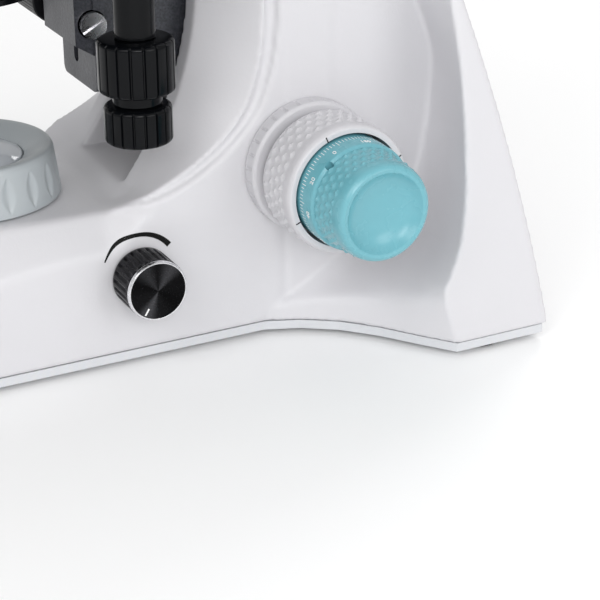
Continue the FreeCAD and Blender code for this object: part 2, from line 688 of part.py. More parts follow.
def cross_slide():
    """Saddle on the stage's dovetail, with the fixed claw and the finger's pivot ear."""
    low = STAGE_TOP + 0.4
    saddle = box(-46.0, 36.5, 46.0, 66.0, low, 172.5)
    dovetail = [(51.6, STAGE_TOP), (60.4, STAGE_TOP), (61.9, 170.3), (50.1, 170.3)]
    saddle = saddle.cut(prism_x(dovetail, -47.0, 47.0))
    claw = box(-46.0, -38.3, -1.0, 46.0, low, 168.8)
    lip = box(-38.3, -34.0, 26.0, 46.0, low, 168.8)
    ear = box(36.5, 46.5, 40.8, 55.0, 171.0, 172.5)
    pin = rod_z(FINGER_X, FINGER_Y, low + 0.2, 171.0, 1.5)
    return union([saddle, claw, lip, ear, pin])


def slide_finger():
    hub = rod_z(FINGER_X, FINGER_Y, STAGE_TOP + 0.4, 170.7, 4.4)
    outer_edge = [(38.6, 43.4), (44.4, 43.4), (47.0, 26.0), (44.0, 0.0)]
    inner_edge = [(38.3, -2.0), (39.8, 12.0), (42.0, 26.0)]
    finger = union([hub, prism_z(outer_edge + inner_edge, STAGE_TOP + 0.4, 168.6)])
    return finger.cut(rod_z(FINGER_X, FINGER_Y, STAGE_TOP, 172.0, 1.5 + FIT))


def nose_axis():
    tilt = math.radians(NOSE_TILT)
    return V(0, 0, SHOULDER_Z + NOSE_REACH), V(0, math.sin(tilt), -math.cos(tilt))


def to_nose(shape):
    """Move a shape modelled about the origin onto the tilted turret axis."""
    apex, direction = nose_axis()
    shape.rotate(V(0, 0, 0), V(1, 0, 0), NOSE_TILT)
    shape.translate(apex)
    return shape


def nosepiece_mount():
    disc = to_nose(turned([(0.0, -67.5), (27.0, -67.5), (29.5, -65.0), (29.5, -40.0), (0.0, -40.0)]))
    neck = disc.common(box(-60.0, 60.0, -60.0, 90.0, 200.0, CARRIER_Z))
    return neck.cut(rod_z(0, 0, 220.0, 260.0, 9.5))


def nosepiece_turret():
    plane = NOSE_REACH * math.cos(math.radians(NOSE_TILT))
    profile = [(0.0, -plane + 3.0), (12.0, -plane + 1.0), (30.5, -plane), (TURRET_R - 1.5, -plane + 2.2),
               (TURRET_R, -plane + 3.2), (TURRET_R, -69.0), (TURRET_R - 1.0, -68.0), (0.0, -68.0)]
    disc = to_nose(turned(profile))
    apex, direction = nose_axis()
    seat = rod_z(0, 0, SHOULDER_Z - 2.0, SHOULDER_Z + 40.0, 10.15)
    face = rod_z(0, 0, SHOULDER_Z - 12.0, SHOULDER_Z, 13.2)
    for i in range(4):
        for tool in (seat, face):
            cutter = tool.copy()
            cutter.rotate(apex, direction, 90.0 * i)
            disc = disc.cut(cutter)
    return disc


def objective(length, tip_r):
    z = SHOULDER_Z
    tip = z - length
    profile = [(6.5, z + 4.5), (10.0, z + 4.5), (10.0, z), (12.0, z), (12.0, z - 0.42 * length),
               (11.2, z - 0.44 * length), (11.2, z - 0.72 * length), (tip_r + 1.5, tip + 3.5), (tip_r, tip),
               (tip_r * 0.55, tip), (tip_r * 0.55, tip + 1.0), (6.5, z - 0.3 * length)]
    return turned(profile)


def objectives():
    apex, direction = nose_axis()
    result = {}
    for i, (name, length, tip_r) in enumerate(OBJECTIVES):
        shape = objective(length, tip_r)
        shape.rotate(apex, direction, 90.0 * i)
        result[name] = shape
    return result


def head_carrier():
    side = [(THROAT_Y, SEAM_Z), (rear_y(SEAM_Z), SEAM_Z), (rear_y(CARRIER_Z), CARRIER_Z), (98.0, 276.0),
            (84.0, CARRIER_TOP), (-40.0, CARRIER_TOP), (-40.0, CARRIER_Z), (50.0, CARRIER_Z), (64.0, 252.5), (73.5, 244.0)]
    body = prism_x(side, -50.0, 50.0)
    nose_r = 36.5
    flank = [(nose_r, 20.0), (38.0, 60.0), (42.0, THROAT_Y), (42.0, 104.0), (50.3, 110.0), (48.3, 120.0)]
    other_flank = [(-x, y) for x, y in reversed(flank)]
    outline = prism_z(flank + other_flank, 220.0, 300.0)
    nose = rod_z(0, 0, 220.0, 300.0, nose_r).fuse(box(-nose_r, nose_r, 0.0, 21.0, 220.0, 300.0))
    body = body.common(outline.fuse(nose).removeSplitter())
    seat = tube_z(0, 0, CARRIER_TOP, 291.5, 33.0, 26.5)
    body = body.fuse(seat).removeSplitter()
    body = body.cut(rod_z(0, 0, 250.0, 290.0, 13.0))
    return body.cut(rod_x(0, 289.0, 20.0, 36.0, 1.7))


def head_lock_screw():
    return rod_x(0, 289.0, 27.5, 38.0, 1.6).fuse(rod_x(0, 289.0, 38.0, 47.0, 4.5)).removeSplitter()


def to_head(shape):
    """Move a shape modelled about the origin onto the inclined ocular axis."""
    shape.rotate(V(0, 0, 0), V(1, 0, 0), HEAD_TILT)
    shape.translate(V(0, HUB_Y, HUB_Z))
    return shape


def head_body():
    side = [(-36.0, 294.0), (32.0, 294.0), (37.0, 300.0), (37.0, 318.0), (22.0, 338.0), (6.0, 345.0),
            (-10.0, 344.0), (-14.0, 339.6), (-38.0, 298.0)]
    housing = prism_x(side, -31.0, 31.0)
    ends = [e for e in housing.Edges if e.BoundBox.YLength > 3.0 or e.BoundBox.ZLength > 3.0]
    ends = [e for e in ends if e.BoundBox.XLength < 0.1]
    housing = housing.makeChamfer(3.0, ends)
    disc = rod_z(0, 0, CARRIER_TOP + GAP, 294.0, 26.0)
    hub = to_head(rod_z(0, 0, -3.0, 29.0, HUB_R))
    cap = to_head(rod_z(0, 0, 27.0, 30.0, 14.5))
    body = union([housing, disc, hub, cap])
    return body.cut(rod_z(0, 0, 280.0, 310.0, 13.0))


def ocular_arm(side):
    """One swinging prism box with its ocular tube; side is 1 on the right, -1 on the left."""
    x0 = HUB_R + 0.4
    plate = prism_z([(x0 - 3.5, -9.0), (ARM_REACH, -19.0), (ARM_REACH, 19.0), (x0 - 3.5, 9.0)], 1.5, 26.5)
    arm = plate.fuse(rod_z(ARM_REACH, 0, 1.5, 26.5, 19.0)).removeSplitter()
    rim = [e for e in arm.Edges if e.BoundBox.ZLength < 0.1]
    arm = arm.makeChamfer(1.5, rim)
    arm = arm.cut(rod_z(0, 0, 0.0, 30.0, HUB_R + GAP))
    arm = arm.fuse(rod_z(ARM_REACH, 0, 26.5, 54.0, TUBE_R)).removeSplitter()
    arm = arm.cut(rod_z(ARM_REACH, 0, 12.0, 60.0, TUBE_BORE_R))
    arm = arm.cut(rod_z(0, 0, 26.5, 32.0, 15.0))
    return place_ocular(arm, side)


def place_ocular(shape, side):
    if side < 0:
        shape = mirrored(shape)
    shape.rotate(V(0, 0, 0), V(0, 0, 1), side * ARM_OPEN)
    return to_head(shape)


def eyepiece(side):
    profile = [(7.5, 40.0), (11.6, 40.0), (11.6, 54.0), (16.5, 54.0), (16.8, 56.0), (16.8, 70.0),
               (18.2, 71.5), (18.2, 80.0), (16.2, 84.0), (12.5, 84.5), (9.5, 79.0), (7.5, 78.0)]
    body = turned(profile)
    body.translate(V(ARM_REACH, 0, 0))
    return place_ocular(body, side)


def dioptre_ring():
    ring = tube_z(ARM_REACH, 0, 40.0, 50.0, 18.4, TUBE_R + GAP)
    ring = fluted(ring, 28, 18.8, 0.8, (ARM_REACH, 0, 39.0, 51.0), "z")
    return place_ocular(ring, -1)


def export(name, shape):
    shape = shape.copy()
    shape.translate(V(0, AXIS_Y, 0))
    if not shape.isValid():
        print("not valid:", name)
    shape.exportStep("parts/" + name + ".step")


def main():
    os.makedirs("parts", exist_ok=True)
    parts = {
        "stand_casting": stand_casting(),
        "head_carrier": head_carrier(),
        "base_plate": base_plate(),
        "base_screws": base_screws(),
        "rubber_feet": rubber_feet(),
        "power_inlet": power_inlet(),
        "switch_frame": switch_frame(),
        "rocker_switch": rocker_switch(),
        "lamp_housing": lamp_housing(),
        "field_lens": lens(LAMP_BORE_R - 0.1, 62.0, 3.0, 4.5),
        "field_iris": field_iris(),
        "collector_lens": lens(LAMP_BORE_R - 0.1, 40.0, 3.0, 7.0),
        "led_board": led_board(),
        "heat_sink": heat_sink(),
        "driver_board": driver_board(),
        "field_diaphragm_ring": field_diaphragm_ring(),
        "potentiometer": potentiometer(),
        "brightness_knob": brightness_knob(),
        "focus_bushes": focus_bushes(),
        "tension_ring": tension_ring(),
        "coarse_shaft": coarse_shaft(),
        "coarse_knob_right": coarse_knob(),
        "coarse_knob_left": mirrored(coarse_knob()),
        "fine_shaft": fine_shaft(),
        "fine_knob_right": fine_knob(),
        "fine_knob_left": mirrored(fine_knob()),
        "fine_set_screws": fine_set_screws(),
        "lift_gear": lift_gear(),
        "gear_frame": gear_frame(),
        "guide_rails": guide_rails(),
        "fine_carriage": fine_carriage(),
        "focus_slide": focus_slide(),
        "focus_rack": focus_rack(),
        "stage_bracket": stage_bracket(),
        "condenser_pinion": condenser_pinion(),
        "condenser_knob": condenser_knob(),
        "condenser_holder": condenser_holder(),
        "condenser_body": condenser_body(),
        "condenser_lens": condenser_lens(),
        "aperture_lever": aperture_lever(),
        "stage_base": stage_base(),
        "stage_top": stage_top(),
        "stage_knob_tube": stage_knob_tube(),
        "stage_y_knob": stage_y_knob(),
        "stage_x_knob": stage_x_knob(),
        "cross_slide": cross_slide(),
        "slide_finger": slide_finger(),
        "nosepiece_mount": nosepiece_mount(),
        "nosepiece_turret": nosepiece_turret(),
        "head_body": head_body(),
        "head_lock_screw": head_lock_screw(),
        "ocular_arm_right": ocular_arm(1),
        "ocular_arm_left": ocular_arm(-1),
        "eyepiece_right": eyepiece(1),
        "eyepiece_left": eyepiece(-1),
        "dioptre_ring": dioptre_ring(),
    }
    parts.update(objectives())
    for name, shape in parts.items():
        export(name, shape)


main()
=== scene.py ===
import math
import bpy
import bmesh
import numpy as np
import openvdb
from mathutils import Matrix, Vector


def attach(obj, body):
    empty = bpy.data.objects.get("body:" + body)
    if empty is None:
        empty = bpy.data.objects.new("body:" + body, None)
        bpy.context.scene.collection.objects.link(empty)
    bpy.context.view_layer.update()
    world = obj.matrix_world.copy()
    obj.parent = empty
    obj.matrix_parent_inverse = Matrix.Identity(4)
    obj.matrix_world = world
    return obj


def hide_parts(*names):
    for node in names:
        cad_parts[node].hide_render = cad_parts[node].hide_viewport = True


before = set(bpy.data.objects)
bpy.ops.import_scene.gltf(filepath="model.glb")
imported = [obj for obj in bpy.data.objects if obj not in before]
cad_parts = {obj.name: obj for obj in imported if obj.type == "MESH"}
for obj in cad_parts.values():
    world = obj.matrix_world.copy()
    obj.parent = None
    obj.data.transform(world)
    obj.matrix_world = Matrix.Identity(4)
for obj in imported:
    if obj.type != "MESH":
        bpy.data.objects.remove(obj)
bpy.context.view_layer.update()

# Sizes below are in millimetres, with Y measured from the optical axis as in the CAD source.
AXIS_Y = -42.82
MM = 0.001
PLATE_TOP = 5.8
PLATFORM_Z = 57.0
SEAM_Z = 232.0
BASE_HALF = 49.0
FOCUS_Y, FOCUS_Z = 110.9, 66.0
LIGHT_Y, LIGHT_Z = 45.5, 34.6
STAGE_KNOB_AT = (47.7, 47.7)
SET_SCREW_X, SET_SCREW_R = 90.8, 1.5
SET_SCREW_ANGLE = math.radians(132.0)
COLLAR_R = 19.5
COLLAR_TEXT_R = 19.57
CELL = 1.0
STAND_TRIANGLES, CARRIER_TRIANGLES = 190000, 60000


def row(x, y, z):
    return Vector((x * MM, (y + AXIS_Y) * MM, z * MM))


# ---------------------------------------------------------------- camera, light, floor

AZIMUTH, ELEVATION, ROLL = (math.radians(a) for a in (62.914, 24.256, -0.2445))
CAMERA_AT = (592.48, -169.50, 286.96)
SENSOR = 36.0
FOCAL_PIXELS, FRAME_PIXELS = 1801.41, 600.0
LENS = FOCAL_PIXELS / FRAME_PIXELS * SENSOR


def look_from(azimuth, elevation, roll):
    forward = Vector((-math.sin(azimuth) * math.cos(elevation), math.cos(azimuth) * math.cos(elevation),
                      -math.sin(elevation)))
    right = Vector((math.cos(azimuth), math.sin(azimuth), 0.0))
    up = right.cross(forward)
    r = right * math.cos(roll) + up * math.sin(roll)
    u = up * math.cos(roll) - right * math.sin(roll)
    return Matrix((r, u, -forward)).transposed().to_4x4()


def add_camera():
    data = bpy.data.cameras.new("camera")
    data.sensor_width = SENSOR
    data.lens = LENS
    data.clip_start = 0.01
    camera = bpy.data.objects.new("camera", data)
    bpy.context.scene.collection.objects.link(camera)
    camera.matrix_world = Matrix.Translation(row(*CAMERA_AT)) @ look_from(AZIMUTH, ELEVATION, ROLL)
    bpy.context.scene.camera = camera


def area_light(name, at, target, size, watts):
    data = bpy.data.lights.new(name, "AREA")
    data.shape = "DISK"
    data.size = size
    data.energy = watts
    light = bpy.data.objects.new(name, data)
    bpy.context.scene.collection.objects.link(light)
    light.location = at
    light.rotation_euler = (Vector(target) - Vector(at)).to_track_quat("-Z", "Y").to_euler()
    return light


def add_lights():
    bpy.context.scene.view_settings.view_transform = "Standard"
    area_light("key", (0.75, -1.0, 1.0), (0.0, 0.0, 0.1), 1.0, 6.4)
    area_light("front", (1.15, -0.3, 0.6), (0.05, 0.06, 0.06), 0.5, 3.8)
    area_light("fill", (1.5, 0.6, 0.6), (0.0, 0.05, 0.08), 0.8, 4.25)
    area_light("back", (-0.9, 0.9, 1.1), (0.0, 0.0, 0.15), 0.8, 6.8)
    world = bpy.data.worlds.new("studio")
    bpy.context.scene.world = world
    world.use_nodes = True
    background = world.node_tree.nodes["Background"]
    background.inputs["Color"].default_value = (1.0, 1.0, 1.0, 1.0)
    background.inputs["Strength"].default_value = 0.663


# ---------------------------------------------------------------- materials

def new_material(name, color, roughness, metallic=0.0, **inputs):
    material = bpy.data.materials.new(name)
    material.use_nodes = True
    shader = material.node_tree.nodes["Principled BSDF"]
    shader.inputs["Base Color"].default_value = (*color, 1.0)
    shader.inputs["Roughness"].default_value = roughness
    shader.inputs["Metallic"].default_value = metallic
    for key, value in inputs.items():
        shader.inputs[key.replace("_", " ")].default_value = value
    return material


def node(material, kind, **values):
    made = material.node_tree.nodes.new(kind)
    for key, value in values.items():
        if hasattr(made, key):
            setattr(made, key, value)
        else:
            made.inputs[key.replace("_", " ")].default_value = value
    return made


def join(material, source, target):
    material.node_tree.links.new(source, target)


def shader_of(material):
    return material.node_tree.nodes["Principled BSDF"]


def object_noise(material, scale, detail=2.0, stretch=(1.0, 1.0, 1.0)):
    """Noise fixed to the object; scale is in features per metre."""
    place = node(material, "ShaderNodeTexCoord")
    mapping = node(material, "ShaderNodeMapping")
    mapping.inputs["Scale"].default_value = stretch
    noise = node(material, "ShaderNodeTexNoise", Scale=scale, Detail=detail)
    join(material, place.outputs["Object"], mapping.inputs["Vector"])
    join(material, mapping.outputs["Vector"], noise.inputs["Vector"])
    return noise


# Sockets of a Mix node set to colour.
MIX_A, MIX_B, MIX_RESULT = 6, 7, 2


def tint(material, noise, dark, light):
    """Slow colour change between two near shades."""
    mix = node(material, "ShaderNodeMix", data_type="RGBA")
    mix.inputs[MIX_A].default_value = (*dark, 1.0)
    mix.inputs[MIX_B].default_value = (*light, 1.0)
    join(material, noise.outputs["Fac"], mix.inputs[0])
    join(material, mix.outputs[MIX_RESULT], shader_of(material).inputs["Base Color"])


def vary_roughness(material, noise, low, high):
    spread = node(material, "ShaderNodeMapRange")
    spread.inputs["From Min"].default_value = 0.3
    spread.inputs["From Max"].default_value = 0.7
    spread.inputs["To Min"].default_value = low
    spread.inputs["To Max"].default_value = high
    join(material, noise.outputs["Fac"], spread.inputs["Value"])
    join(material, spread.outputs["Result"], shader_of(material).inputs["Roughness"])


def bumps(material, layers):
    """Stack of noise bumps: (noise, strength, depth in metres)."""
    previous = None
    for noise, strength, depth in layers:
        bump = node(material, "ShaderNodeBump", Strength=strength, Distance=depth)
        join(material, noise.outputs["Fac"], bump.inputs["Height"])
        if previous:
            join(material, previous.outputs["Normal"], bump.inputs["Normal"])
        previous = bump
    join(material, previous.outputs["Normal"], shader_of(material).inputs["Normal"])


def powder_coat(name, dark, light, rough=0.42, depth=0.00005, grain=14.0, **inputs):
    m = new_material(name, light, rough, **inputs)
    slow = object_noise(m, grain, 3.0)
    tint(m, slow, dark, light)
    vary_roughness(m, object_noise(m, 60.0), rough - 0.05, rough + 0.06)
    bumps(m, [(object_noise(m, 700.0, 2.0), 0.35, depth), (object_noise(m, 1700.0, 1.0), 0.5, depth * 0.4)])
    return m


def moulded(name, dark, light, rough, depth=0.00002, scale=1800.0, **inputs):
    """Moulded plastic or paint with a fine grain."""
    m = new_material(name, light, rough, **inputs)
    tint(m, object_noise(m, 35.0, 3.0), dark, light)
    vary_roughness(m, object_noise(m, 150.0), max(rough - 0.06, 0.03), rough + 0.07)
    bumps(m, [(object_noise(m, scale, 2.0), 0.3, depth)])
    return m


def metal(name, dark, light, rough, stretch=(1.0, 1.0, 1.0), scale=900.0, depth=0.00001, **inputs):
    m = new_material(name, light, rough, metallic=1.0, **inputs)
    grain = object_noise(m, scale, 4.0, stretch)
    tint(m, grain, dark, light)
    vary_roughness(m, grain, max(rough - 0.08, 0.04), rough + 0.12)
    bumps(m, [(grain, 0.25, depth)])
    return m


def glass(name, color):
    m = new_material(name, color, 0.03, Transmission_Weight=0.9, IOR=1.5)
    bumps(m, [(object_noise(m, 40.0), 0.02, 0.00002)])
    vary_roughness(m, object_noise(m, 80.0), 0.02, 0.06)
    return m


def spun(name, stops, rough, **inputs):
    """Turned metal face about the X axis, with painted reflection: soft light and dark sectors painted round
    it in its base colour.
    stops are (position round the turn, level), the two ends first."""
    m = new_material(name, (0.03, 0.03, 0.033), rough, metallic=1.0, **inputs)
    place = node(m, "ShaderNodeTexCoord")
    middle = node(m, "ShaderNodeMapping")
    middle.inputs["Location"].default_value = (-LIGHT_Z * MM, -(LIGHT_Y + AXIS_Y) * MM, 0.0)
    turn = node(m, "ShaderNodeMapping")
    turn.inputs["Rotation"].default_value = (0.0, math.radians(90.0), 0.0)
    sweep = node(m, "ShaderNodeTexGradient", gradient_type="RADIAL")
    join(m, place.outputs["Object"], turn.inputs["Vector"])
    join(m, turn.outputs["Vector"], middle.inputs["Vector"])
    join(m, middle.outputs["Vector"], sweep.inputs["Vector"])
    ramp = node(m, "ShaderNodeValToRGB")
    ramp.color_ramp.interpolation = "EASE"
    for k, (position, level) in enumerate(stops):
        stop = ramp.color_ramp.elements[k] if k < 2 else ramp.color_ramp.elements.new(position)
        stop.position = position
        stop.color = (level, level, level * 1.08, 1.0)
    join(m, sweep.outputs["Fac"], ramp.inputs["Fac"])
    join(m, ramp.outputs["Color"], shader_of(m).inputs["Base Color"])
    grain = object_noise(m, 900.0, 3.0)
    vary_roughness(m, grain, rough - 0.04, rough + 0.06)
    tangent = node(m, "ShaderNodeTangent", direction_type="RADIAL", axis="X")
    join(m, tangent.outputs["Tangent"], shader_of(m).inputs["Tangent"])
    bumps(m, [(grain, 0.1, 0.000005)])
    return m


# ---------------------------------------------------------------- mesh tools

def make_piece(name, points, faces, body, material, stands_for=(), sharp=38.0):
    """Mesh object from points in millimetres, with its faces turned outwards."""
    mesh = bpy.data.meshes.new(name)
    place = np.array(points, float)
    place[:, 1] += AXIS_Y
    place *= MM
    mesh.from_pydata(place.tolist(), [], [list(f) for f in faces])
    bm = bmesh.new()
    bm.from_mesh(mesh)
    bmesh.ops.remove_doubles(bm, verts=bm.verts, dist=1e-7)
    bmesh.ops.recalc_face_normals(bm, faces=bm.faces)
    bm.to_mesh(mesh)
    bm.free()
    return finish_piece(name, mesh, body, material, stands_for, sharp)


def finish_piece(name, mesh, body, material, stands_for=(), sharp=38.0):
    mesh.validate()
    for polygon in mesh.polygons:
        polygon.use_smooth = True
    mesh.set_sharp_from_angle(angle=math.radians(sharp))
    piece = bpy.data.objects.new(name, mesh)
    bpy.context.scene.collection.objects.link(piece)
    for m in (material if isinstance(material, (list, tuple)) else [material]):
        mesh.materials.append(m)
    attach(piece, body)
    if stands_for:
        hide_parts(*stands_for)
    return piece


def fillet(points, radius, steps=4):
    """Round the corners of an open (h, r) profile; radius is one number or one for each point."""
    out = [points[0]]
    radii = radius if isinstance(radius, (list, tuple)) else [radius] * len(points)
    for i in range(1, len(points) - 1):
        a, b, c = (Vector(points[k]) for k in (i - 1, i, i + 1))
        u, v = a - b, c - b
        cut = min(radii[i], 0.45 * u.length, 0.45 * v.length)
        if cut < 1e-4:
            out.append(points[i])
            continue
        p, q = b + u.normalized() * cut, b + v.normalized() * cut
        for k in range(steps + 1):
            t = k / steps
            out.append(tuple(p * (1 - t) ** 2 + b * 2 * t * (1 - t) + q * t ** 2))
    out.append(points[-1])
    return out


def subdivide(points, step):
    """Add points so that no run of an open profile is longer than step."""
    out = [points[0]]
    for a, b in zip(points, points[1:]):
        length = math.hypot(b[0] - a[0], b[1] - a[1])
        count = max(1, int(math.ceil(length / step)))
        for k in range(1, count + 1):
            out.append((a[0] + (b[0] - a[0]) * k / count, a[1] + (b[1] - a[1]) * k / count))
    return out


def lathe(profile, count, axis, centre, shape=None, closed=False):
    """Points and faces turned from an (h, r) profile about a line along axis through centre.
    shape(h, r, angle) gives new radii for the whole grid. A closed profile makes a ring."""
    h = np.array([p[0] for p in profile], float)[:, None]
    r = np.array([p[1] for p in profile], float)[:, None]
    angle = np.linspace(0.0, 2.0 * math.pi, count, endpoint=False)[None, :]
    radius = np.broadcast_to(r, (len(profile), count)).copy()
    if shape is not None:
        radius = np.where(r > 1e-6, shape(h, radius, angle), radius)
    across, up = radius * np.cos(angle), radius * np.sin(angle)
    along = np.broadcast_to(h, radius.shape)
    if axis == "x":
        points = np.stack([along, centre[0] + across, centre[1] + up], -1)
    else:
        points = np.stack([centre[0] + across, centre[1] + up, along], -1)
    faces = []
    rows = len(profile)
    for i in range(rows if closed else rows - 1):
        j = (i + 1) % rows
        for k in range(count):
            l = (k + 1) % count
            faces.append((i * count + k, i * count + l, j * count + l, j * count + k))
    faces = [tuple(dict.fromkeys(f)) for f in faces]
    return points.reshape(-1, 3), faces


def smoothstep(a, b, value):
    t = np.clip((value - a) / (b - a), 0.0, 1.0)
    return t * t * (3.0 - 2.0 * t)


def pyramids(h0, rows, pitch, columns, height, size=0.42):
    """Radius offset for staggered rows of small four-sided pyramids."""
    def offset(h, angle):
        v = (h - h0) / pitch
        line = np.round(v)
        u = angle * columns / (2.0 * math.pi) + 0.5 * np.mod(line, 2.0)
        du = np.abs(u - np.round(u))
        dv = np.abs(v - line)
        peak = np.clip(1.0 - (du + dv) / size, 0.0, 1.0)
        inside = (line > -0.5) & (line < rows - 0.5)
        return height * np.where(inside, peak, 0.0)
    return offset


# ---------------------------------------------------------------- distance fields

def smin(a, b, k):
    t = np.clip(0.5 + 0.5 * (b - a) / k, 0.0, 1.0)
    return b + (a - b) * t - k * t * (1.0 - t)


def smax(a, b, k):
    return -smin(-a, -b, k)


def path_distance(px, py, path):
    """Distance from grid points to an open polyline, and the side of it (positive on its left)."""
    best = np.full(np.broadcast(px, py).shape, 1e9)
    side = np.zeros_like(best)
    for (ax, ay), (bx, by) in zip(path, path[1:]):
        ex, ey = bx - ax, by - ay
        t = np.clip(((px - ax) * ex + (py - ay) * ey) / (ex * ex + ey * ey), 0.0, 1.0)
        dx, dy = px - ax - t * ex, py - ay - t * ey
        d = dx * dx + dy * dy
        cross = ex * dy - ey * dx
        nearer = d < best - 1e-9
        best = np.where(nearer, d, best)
        side = np.where(nearer, cross, side)
    return np.sqrt(best) * np.where(side >= 0.0, 1.0, -1.0)


def polygon_distance(px, py, loop):
    """Signed distance from grid points to a closed polygon, negative inside."""
    best = np.full(np.broadcast(px, py).shape, 1e9)
    inside = np.zeros(best.shape, bool)
    for (ax, ay), (bx, by) in zip(loop, loop[1:] + loop[:1]):
        ex, ey = bx - ax, by - ay
        t = np.clip(((px - ax) * ex + (py - ay) * ey) / max(ex * ex + ey * ey, 1e-12), 0.0, 1.0)
        dx, dy = px - ax - t * ex, py - ay - t * ey
        best = np.minimum(best, dx * dx + dy * dy)
        if ay != by:
            crosses = (ay > py) != (by > py)
            at = ax + (py - ay) * ex / ey
            inside ^= crosses & (px < at)
    return np.where(inside, -1.0, 1.0) * np.sqrt(best)


def curve_through(points, step):
    """Smooth line through points (centripetal Catmull-Rom), sampled about every step."""
    p = [Vector(q) for q in points]
    p = [p[0] * 2 - p[1]] + p + [p[-1] * 2 - p[-2]]
    out = []
    for i in range(1, len(p) - 2):
        a, b, c, d = p[i - 1:i + 3]
        count = max(1, int((c - b).length / step))
        t0 = 0.0
        t1 = t0 + max((b - a).length, 1e-6) ** 0.5
        t2 = t1 + max((c - b).length, 1e-6) ** 0.5
        t3 = t2 + max((d - c).length, 1e-6) ** 0.5
        for k in range(count):
            t = t1 + (t2 - t1) * k / count
            a1 = a * ((t1 - t) / (t1 - t0)) + b * ((t - t0) / (t1 - t0))
            a2 = b * ((t2 - t) / (t2 - t1)) + c * ((t - t1) / (t2 - t1))
            a3 = c * ((t3 - t) / (t3 - t2)) + d * ((t - t2) / (t3 - t2))
            b1 = a1 * ((t2 - t) / (t2 - t0)) + a2 * ((t - t0) / (t2 - t0))
            b2 = a2 * ((t3 - t) / (t3 - t1)) + a3 * ((t - t1) / (t3 - t1))
            out.append(tuple(b1 * ((t2 - t) / (t2 - t1)) + b2 * ((t - t1) / (t2 - t1))))
    out.append(tuple(p[-2]))
    return out


def blur(field, sigma):
    reach = int(math.ceil(2.5 * sigma))
    weights = np.exp(-0.5 * (np.arange(-reach, reach + 1) / sigma) ** 2)
    weights /= weights.sum()
    for axis in range(3):
        length = field.shape[axis]
        padded = np.take(field, np.clip(np.arange(-reach, length + reach), 0, length - 1), axis=axis)
        total = np.zeros_like(field)
        for k, w in enumerate(weights):
            total += np.float32(w) * np.take(padded, np.arange(k, k + length), axis=axis)
        field = total
    return field


def mirrored_axis(reach, step):
    count = int(math.ceil(reach / step))
    return np.arange(0, count + 1) * step


def field_mesh(name, half_field, origin, step, faces_wanted, boxes=()):
    """Closed mesh of the zero level of a field given for x >= 0, mirrored to the other side.
    boxes are cut out of the whole."""
    full = np.concatenate([half_field[:0:-1], half_field], axis=0)
    start = (-(half_field.shape[0] - 1) * step, origin[1], origin[2])
    axes = [start[i] + step * np.arange(full.shape[i]) for i in range(3)]
    for x0, x1, y0, y1, z0, z1 in boxes:
        depth = slab(axes[0], x0, x1)[:, None, None]
        depth = np.maximum(depth, slab(axes[1], y0, y1)[None, :, None])
        depth = np.maximum(depth, slab(axes[2], z0, z1)[None, None, :])
        full = np.maximum(full, -depth)
    limit = 3.0 * step
    full = np.clip(full, -limit, limit).astype(np.float32)
    grid = openvdb.FloatGrid(limit)
    grid.copyFromArray(full)
    points, _, quads = grid.convertToPolygons(isovalue=0.0, adaptivity=0.0)
    points = points * step
    points[:, 0] -= (half_field.shape[0] - 1) * step
    points[:, 1] += origin[1]
    points[:, 2] += origin[2]
    points[:, 1] += AXIS_Y
    mesh = bpy.data.meshes.new(name)
    mesh.from_pydata((points * MM).tolist(), [], [tuple(q) for q in quads[:, ::-1].tolist()])
    piece = bpy.data.objects.new(name, mesh)
    bpy.context.scene.collection.objects.link(piece)
    total = len(mesh.polygons) * 2
    if total > faces_wanted:
        thin = piece.modifiers.new("thin", "DECIMATE")
        thin.ratio = faces_wanted / total
        dg = bpy.context.evaluated_depsgraph_get()
        slim = bpy.data.meshes.new_from_object(piece.evaluated_get(dg))
        bpy.data.objects.remove(piece)
        bpy.data.meshes.remove(mesh)
        slim.name = name
        return slim
    bpy.data.objects.remove(piece)
    return mesh


# ---------------------------------------------------------------- stand casting

def wing_half(z):
    h = z - PLATE_TOP
    return 98.3 - 0.16 * h - 0.0002 * h * h


def rear_y(z):
    return 187.0 - 0.14 * z - 0.00066 * z * z


RIM_LINE = [(40.0, 56.4), (44.0, 57.0), (47.5, 58.0), (51.5, 60.2), (55.0, 65.0), (59.8, 72.0), (68.6, 88.0),
            (75.0, 107.0), (78.0, 125.0), (78.6, 145.0), (78.4, 180.0), (78.0, 250.0)]
INNER_LINE = [(30.0, 56.0), (38.5, 58.6), (46.5, 61.8), (55.3, 64.9), (64.2, 68.9), (73.1, 74.2),
              (82.0, 81.6), (88.2, 90.0), (92.4, 101.0), (94.8, 114.0), (95.4, 131.0), (94.4, 152.0),
              (91.5, 180.0), (86.0, 208.0), (79.5, 231.0), (78.0, 250.0)]
OUTER_LINE = [(34.0, 57.4), (42.1, 58.9), (49.9, 60.5), (58.7, 62.9), (67.6, 66.6), (76.6, 72.0),
              (85.7, 79.8), (92.6, 88.0), (97.2, 99.0), (100.0, 113.0), (100.8, 131.0), (99.8, 152.0),
              (96.5, 180.0), (90.0, 208.0), (80.5, 231.0), (78.0, 250.0)]

